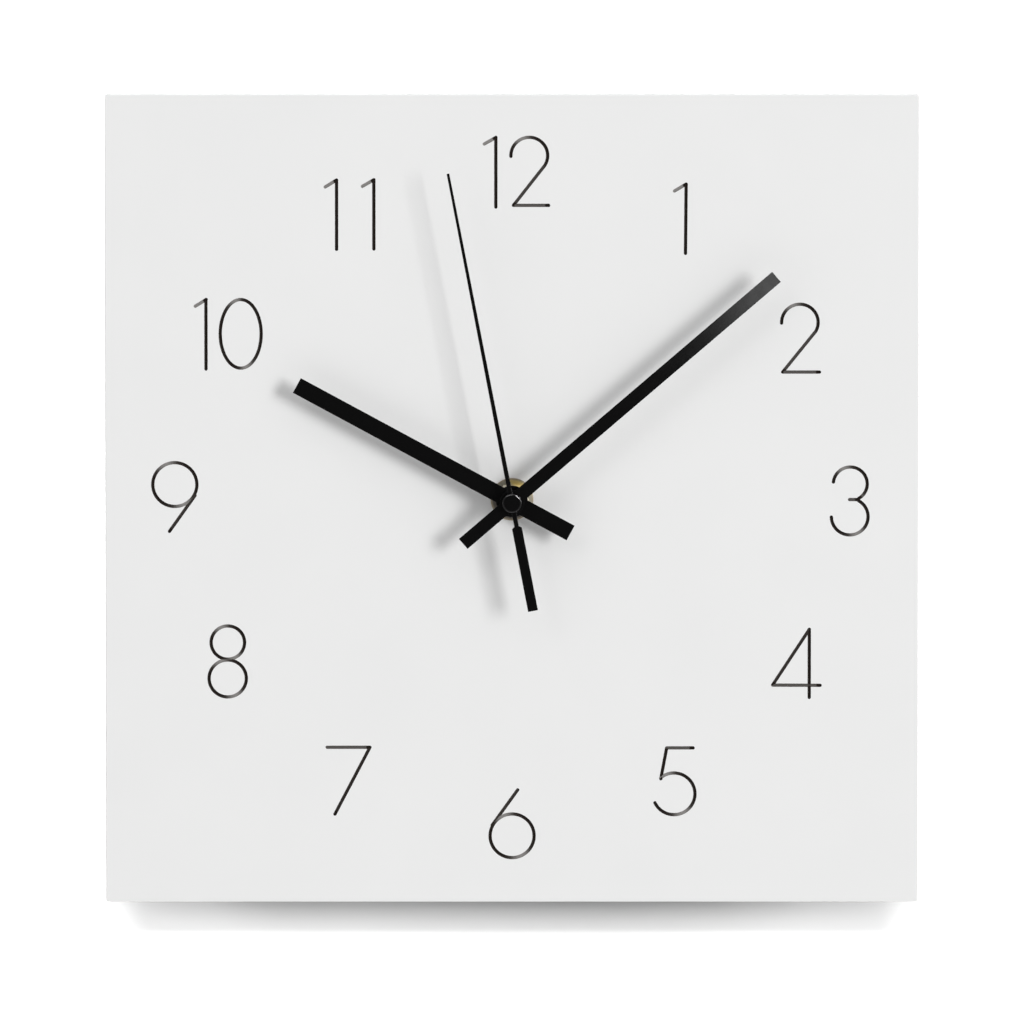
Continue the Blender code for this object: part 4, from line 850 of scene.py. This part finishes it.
def battery():
    """A cell turned about X: a sleeve folded over both ends, a pressed plate and a crowned button.

    Its profiles are radii and distances from the negative end.
    """
    low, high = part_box("battery")
    middle = (low + high) / 2
    ease, steps = 0.0002, 3
    negative_plate = [(0.0, 0.0), (0.0046, 0.0), (0.0049, 0.00022), (0.0060, 0.00022)]
    sleeve = [(0.0061, 0.00005), (0.0065, 0.00005), (0.0071, 0.0006)]
    sleeve += [(0.0071, 0.0484), (0.0066, 0.0491), (0.0062, 0.0491)]
    seal = [(0.0061, 0.0489), (0.0034, 0.0489)]
    button = [(0.0033, 0.0487), (0.0030, 0.0487), (0.0029, 0.0490), (0.00275, 0.0492)]
    button += [(0.00272, 0.0503), (0.0025, 0.0505), (0.0, 0.0505)]
    metal, jacket, rubber = 0, 1, 2
    stretches = ((negative_plate, metal), (sleeve, jacket), (seal, rubber), (button, metal))
    profile = [point for points, _ in stretches for point in points]
    finish = [kind for points, kind in stretches for _ in points]
    finish = np.repeat(finish, steps + 1)
    turned = lathed("battery_look", eased(profile, ease, steps), column_materials=finish)
    places = vertex_places(turned)
    moved = np.stack([low.x - places[:, 1], middle.y + places[:, 0], middle.z + places[:, 2]], axis=-1)
    turned.vertices.foreach_set("co", moved.reshape(-1))
    made_of = [NICKEL, SLEEVE, RUBBER]
    finished("battery_look", turned, made_of, "battery_cell", "battery", smooth=40)


# Dressing: each edge's break is its Bevel's width
HAND_BREAK, SECOND_HAND_BREAK = 0.00010, 0.00006
CASE_BREAK, COVER_BREAK = 0.00020, 0.00018
HANGER_BREAK, CONTACT_BREAK, GASKET_BREAK = 0.00015, 0.00006, 0.00012

dial()
washer()
nut()
bushing()
gasket_seats = ((GASKET_BACK, CASE_FRONT), (GASKET_FRONT, BOARD_BACK))
refined("rubber_gasket", GASKET_BREAK, RUBBER, "clock_body", gasket_seats)
refined("hour_hand", HAND_BREAK, ENAMEL, "hours")
minute_hand_look = refined("minute_hand", HAND_BREAK, ENAMEL, "minutes")
refined("second_hand", SECOND_HAND_BREAK, ENAMEL, "seconds")
cap_look = cap()
collar("hour_hand_collar", "hours")
collar("minute_hand_collar", "minutes")
refined("front_case", CASE_BREAK, CASE, "clock_body", ((CASE_BACK, COVER_PLATE),))
refined("rear_cover", COVER_BREAK, CASE, "clock_body")
refined("hanger", HANGER_BREAK, STEEL, "clock_body")
knob()
refined("positive_contact", CONTACT_BREAK, NICKEL, "clock_body")
refined("negative_contact", CONTACT_BREAK, NICKEL, "clock_body")
battery()
paint(ACETAL, "mid_plate", "coil_bobbin", "rotor_pinion", "intermediate_wheel", "second_wheel", "third_wheel")
paint(ACETAL, "centre_wheel", "motion_wheel", "hour_wheel", "setting_arbor")
paint(IRON, "stator", "coil_core", "rotor_magnet")
paint(STEEL, "lower_core_screw", "upper_core_screw", "clutch_spring", "quartz_crystal", "second_arbor")
paint(BRASS, "minute_pipe")
paint(WIRE, "coil_winding")
paint(MASK, "circuit_board")
paint(EPOXY, "chip_cover")


# Stage: the wall stands a hair behind the clock's back, and the floor lies well below
SQUARE = ((-1, -1), (1, -1), (1, 1), (-1, 1))
WALL_Y = 0.0002
WALL_REACH = 0.4
WALL_GREY = 0.291
FLOOR_REACH = 1.2
FLOOR_HEIGHT = -1.5
FLOOR_GREY = 0.9
FLOOR_LIFT = 0.5


def seen_directly(made):
    """Two factors: whether a ray is the camera's, and whether it was mirrored or came through clear stuff."""
    rays = node(made, "ShaderNodeLightPath").outputs
    mirrored = maths(made, "MAXIMUM", rays["Is Glossy Ray"], rays["Is Transmission Ray"])
    return rays["Is Camera Ray"], mirrored


def backdrop(name, points, grey, lift):
    """A one-sided matt plane. Camera and mirror rays see it with a little light of its own, the lift."""
    mesh = bpy.data.meshes.new(name)
    mesh.from_pydata(points, [], [(0, 1, 2, 3)])
    made_of = bpy.data.materials.new(f"{name}_white")
    made_of.use_nodes = True
    made_of.node_tree.nodes.clear()
    glow = maths(made_of, "MULTIPLY", maths(made_of, "MAXIMUM", *seen_directly(made_of)), lift)
    own_light = node(made_of, "ShaderNodeEmission", [("Strength", glow)]).outputs[0]
    matt = node(made_of, "ShaderNodeBsdfDiffuse", Color=(grey, grey, grey, 1)).outputs[0]
    front = node(made_of, "ShaderNodeAddShader", [(0, matt), (1, own_light)]).outputs[0]
    clear = node(made_of, "ShaderNodeBsdfTransparent").outputs[0]
    turned_away = node(made_of, "ShaderNodeNewGeometry").outputs["Backfacing"]
    sides = node(made_of, "ShaderNodeMixShader", [("Fac", turned_away), (1, front), (2, clear)]).outputs[0]
    node(made_of, "ShaderNodeOutputMaterial", [("Surface", sides)])
    mesh.materials.append(made_of)
    made = bpy.data.objects.new(name, mesh)
    scene.collection.objects.link(made)
    made.visible_diffuse = False
    made.visible_shadow = False
    return made


wall_corners = [(WALL_REACH * a, WALL_Y, WALL_REACH * b) for a, b in SQUARE]
floor_corners = [(FLOOR_REACH * a, FLOOR_REACH * b, FLOOR_HEIGHT) for a, b in SQUARE]
wall = backdrop("wall", wall_corners, WALL_GREY, 0.0)
backdrop("floor", floor_corners, FLOOR_GREY, FLOOR_LIFT)


# Lamps
DIAL_CENTRE = (0, -BOARD_FRONT, 0)
BOARD_FOOT = (0, 0, -BOARD_HALF)


def softbox(name, direction, distance, width, height, power, aim=DIAL_CENTRE, roll=0):
    """A rectangular lamp that looks at its aim from this direction, rolled by some degrees about it."""
    data = bpy.data.lights.new(name, "AREA")
    data.shape = "RECTANGLE"
    data.size, data.size_y = width, height
    data.energy = power
    lamp = bpy.data.objects.new(name, data)
    scene.collection.objects.link(lamp)
    away = Vector(direction).normalized()
    lamp.location = Vector(aim) + away * distance
    lamp.rotation_euler = (away.to_track_quat("Z", "Y") @ Quaternion((0, 0, 1), radians(roll))).to_euler()
    lamp.visible_camera = False
    return lamp


def light_only(name, receivers, *lamps, all_but=False):
    """The lamps light only these objects, or all but them."""
    group = bpy.data.collections.new(name)
    for each in receivers:
        group.objects.link(each)
    for entry in group.collection_objects:
        entry.light_linking.link_state = "EXCLUDE" if all_but else "INCLUDE"
    for lamp in lamps:
        lamp.light_linking.receiver_collection = group


# Key and fill throw the hands' shadows, the card pales the minute hand's tip, glint and crown ring the cap.
key = softbox("key", (1.08, -1, 0.22), distance=14.0, width=3.8, height=6.0, power=1248)
fill = softbox("fill", (-0.78, -1, 0.91), distance=3.5, width=0.9, height=0.9, power=6)
card = softbox("card", (0.402, -1, 0.165), distance=0.315, width=0.068, height=0.055, power=0.0345)
glint = softbox("glint", (0.43, -1, 0.36), distance=1.5, width=0.52, height=0.04, power=3.55, roll=-46)
crown = softbox("crown", (-0.2, -1, 0.479), distance=1.5, width=1.1, height=0.04, power=0.9, roll=18)
rear = softbox("rear", (-0.7, 1, 0.35), distance=3.0, width=1.5, height=1.5, power=29)

# The wall's lamps shape the band of shadow under the dial. Side lamps: degrees, rise, width and power.
overhead = softbox("overhead", (0, -1, 0.8), distance=2.2, width=3.0, height=0.6, power=300, aim=BOARD_FOOT)
wall_lamps = [overhead]
for degrees, rise, width, power in (
    (-52, 0.22, 1.2, 42),
    (52, 0.22, 1.2, 38),
    (-71, 0.12, 0.4, 138),
    (71, 0.12, 0.4, 120),
    (-83, 0.12, 0.3, 150),
    (78, 0.12, 0.3, 148),
):
    direction = (sin(radians(degrees)), -cos(radians(degrees)), rise)
    side_lamp = softbox("side", direction, distance=2.5, width=width, height=0.6, power=power, aim=BOARD_FOOT)
    wall_lamps.append(side_lamp)

light_only("wall_only", [wall], *wall_lamps)
light_only("all_but_wall", [wall], key, fill, rear, all_but=True)
light_only("cap_only", [cap_look], glint, crown)
light_only("minute_hand_only", [minute_hand_look], card)


# World
STUDIO_STRENGTH = 1.17
DARK_IN_FRONT = [(0.0, 0.04), (0.06, 0.055)]
STUDIO_GREYS = DARK_IN_FRONT + [(0.16, 0.66), (0.30, 1.0), (0.50, 0.50), (0.62, 0.36), (1.0, 0.36)]


def studio():
    """Greys that follow the direction's Y, darkest straight in front of the dial.

    Camera rays see white instead, and so do mirrored rays that leave behind the dial.
    """
    world = bpy.data.worlds.new("studio")
    scene.world = world
    world.use_nodes = True
    world.node_tree.nodes.clear()
    direction = node(world, "ShaderNodeTexCoord").outputs["Generated"]
    backwards = part_of(world, direction, "Y")
    greys = ramp(world, between(world, backwards, -1, 1), STUDIO_GREYS)
    light = node(world, "ShaderNodeBackground", [("Color", greys)], Strength=STUDIO_STRENGTH).outputs[0]
    white = node(world, "ShaderNodeBackground", Color=(1, 1, 1, 1)).outputs[0]
    camera_ray, mirrored = seen_directly(world)
    behind = maths(world, "GREATER_THAN", backwards, 0.0)
    seen = maths(world, "MAXIMUM", camera_ray, maths(world, "MULTIPLY", mirrored, behind))
    choice = node(world, "ShaderNodeMixShader", [("Fac", seen), (1, light), (2, white)]).outputs[0]
    node(world, "ShaderNodeOutputWorld", [("Surface", choice)])


studio()


# Camera
PITCH = radians(7)
DISTANCE = 8.0
FRAME_WIDTH = 0.37783
FRAME_CENTRE_HEIGHT = -0.0048
SENSOR = 36

aim = Vector((0, -BOARD_FRONT, FRAME_CENTRE_HEIGHT))
away = Vector((0, -cos(PITCH), sin(PITCH)))
camera_data = bpy.data.cameras.new("camera")
camera_data.sensor_width = SENSOR
camera_data.lens = SENSOR * DISTANCE / FRAME_WIDTH
camera_data.clip_start = 0.1
camera_data.clip_end = 30
camera = bpy.data.objects.new("camera", camera_data)
scene.collection.objects.link(camera)
camera.location = aim + away * DISTANCE
camera.rotation_euler = away.to_track_quat("Z", "Y").to_euler()
scene.camera = camera
scene.view_settings.view_transform = "Standard"
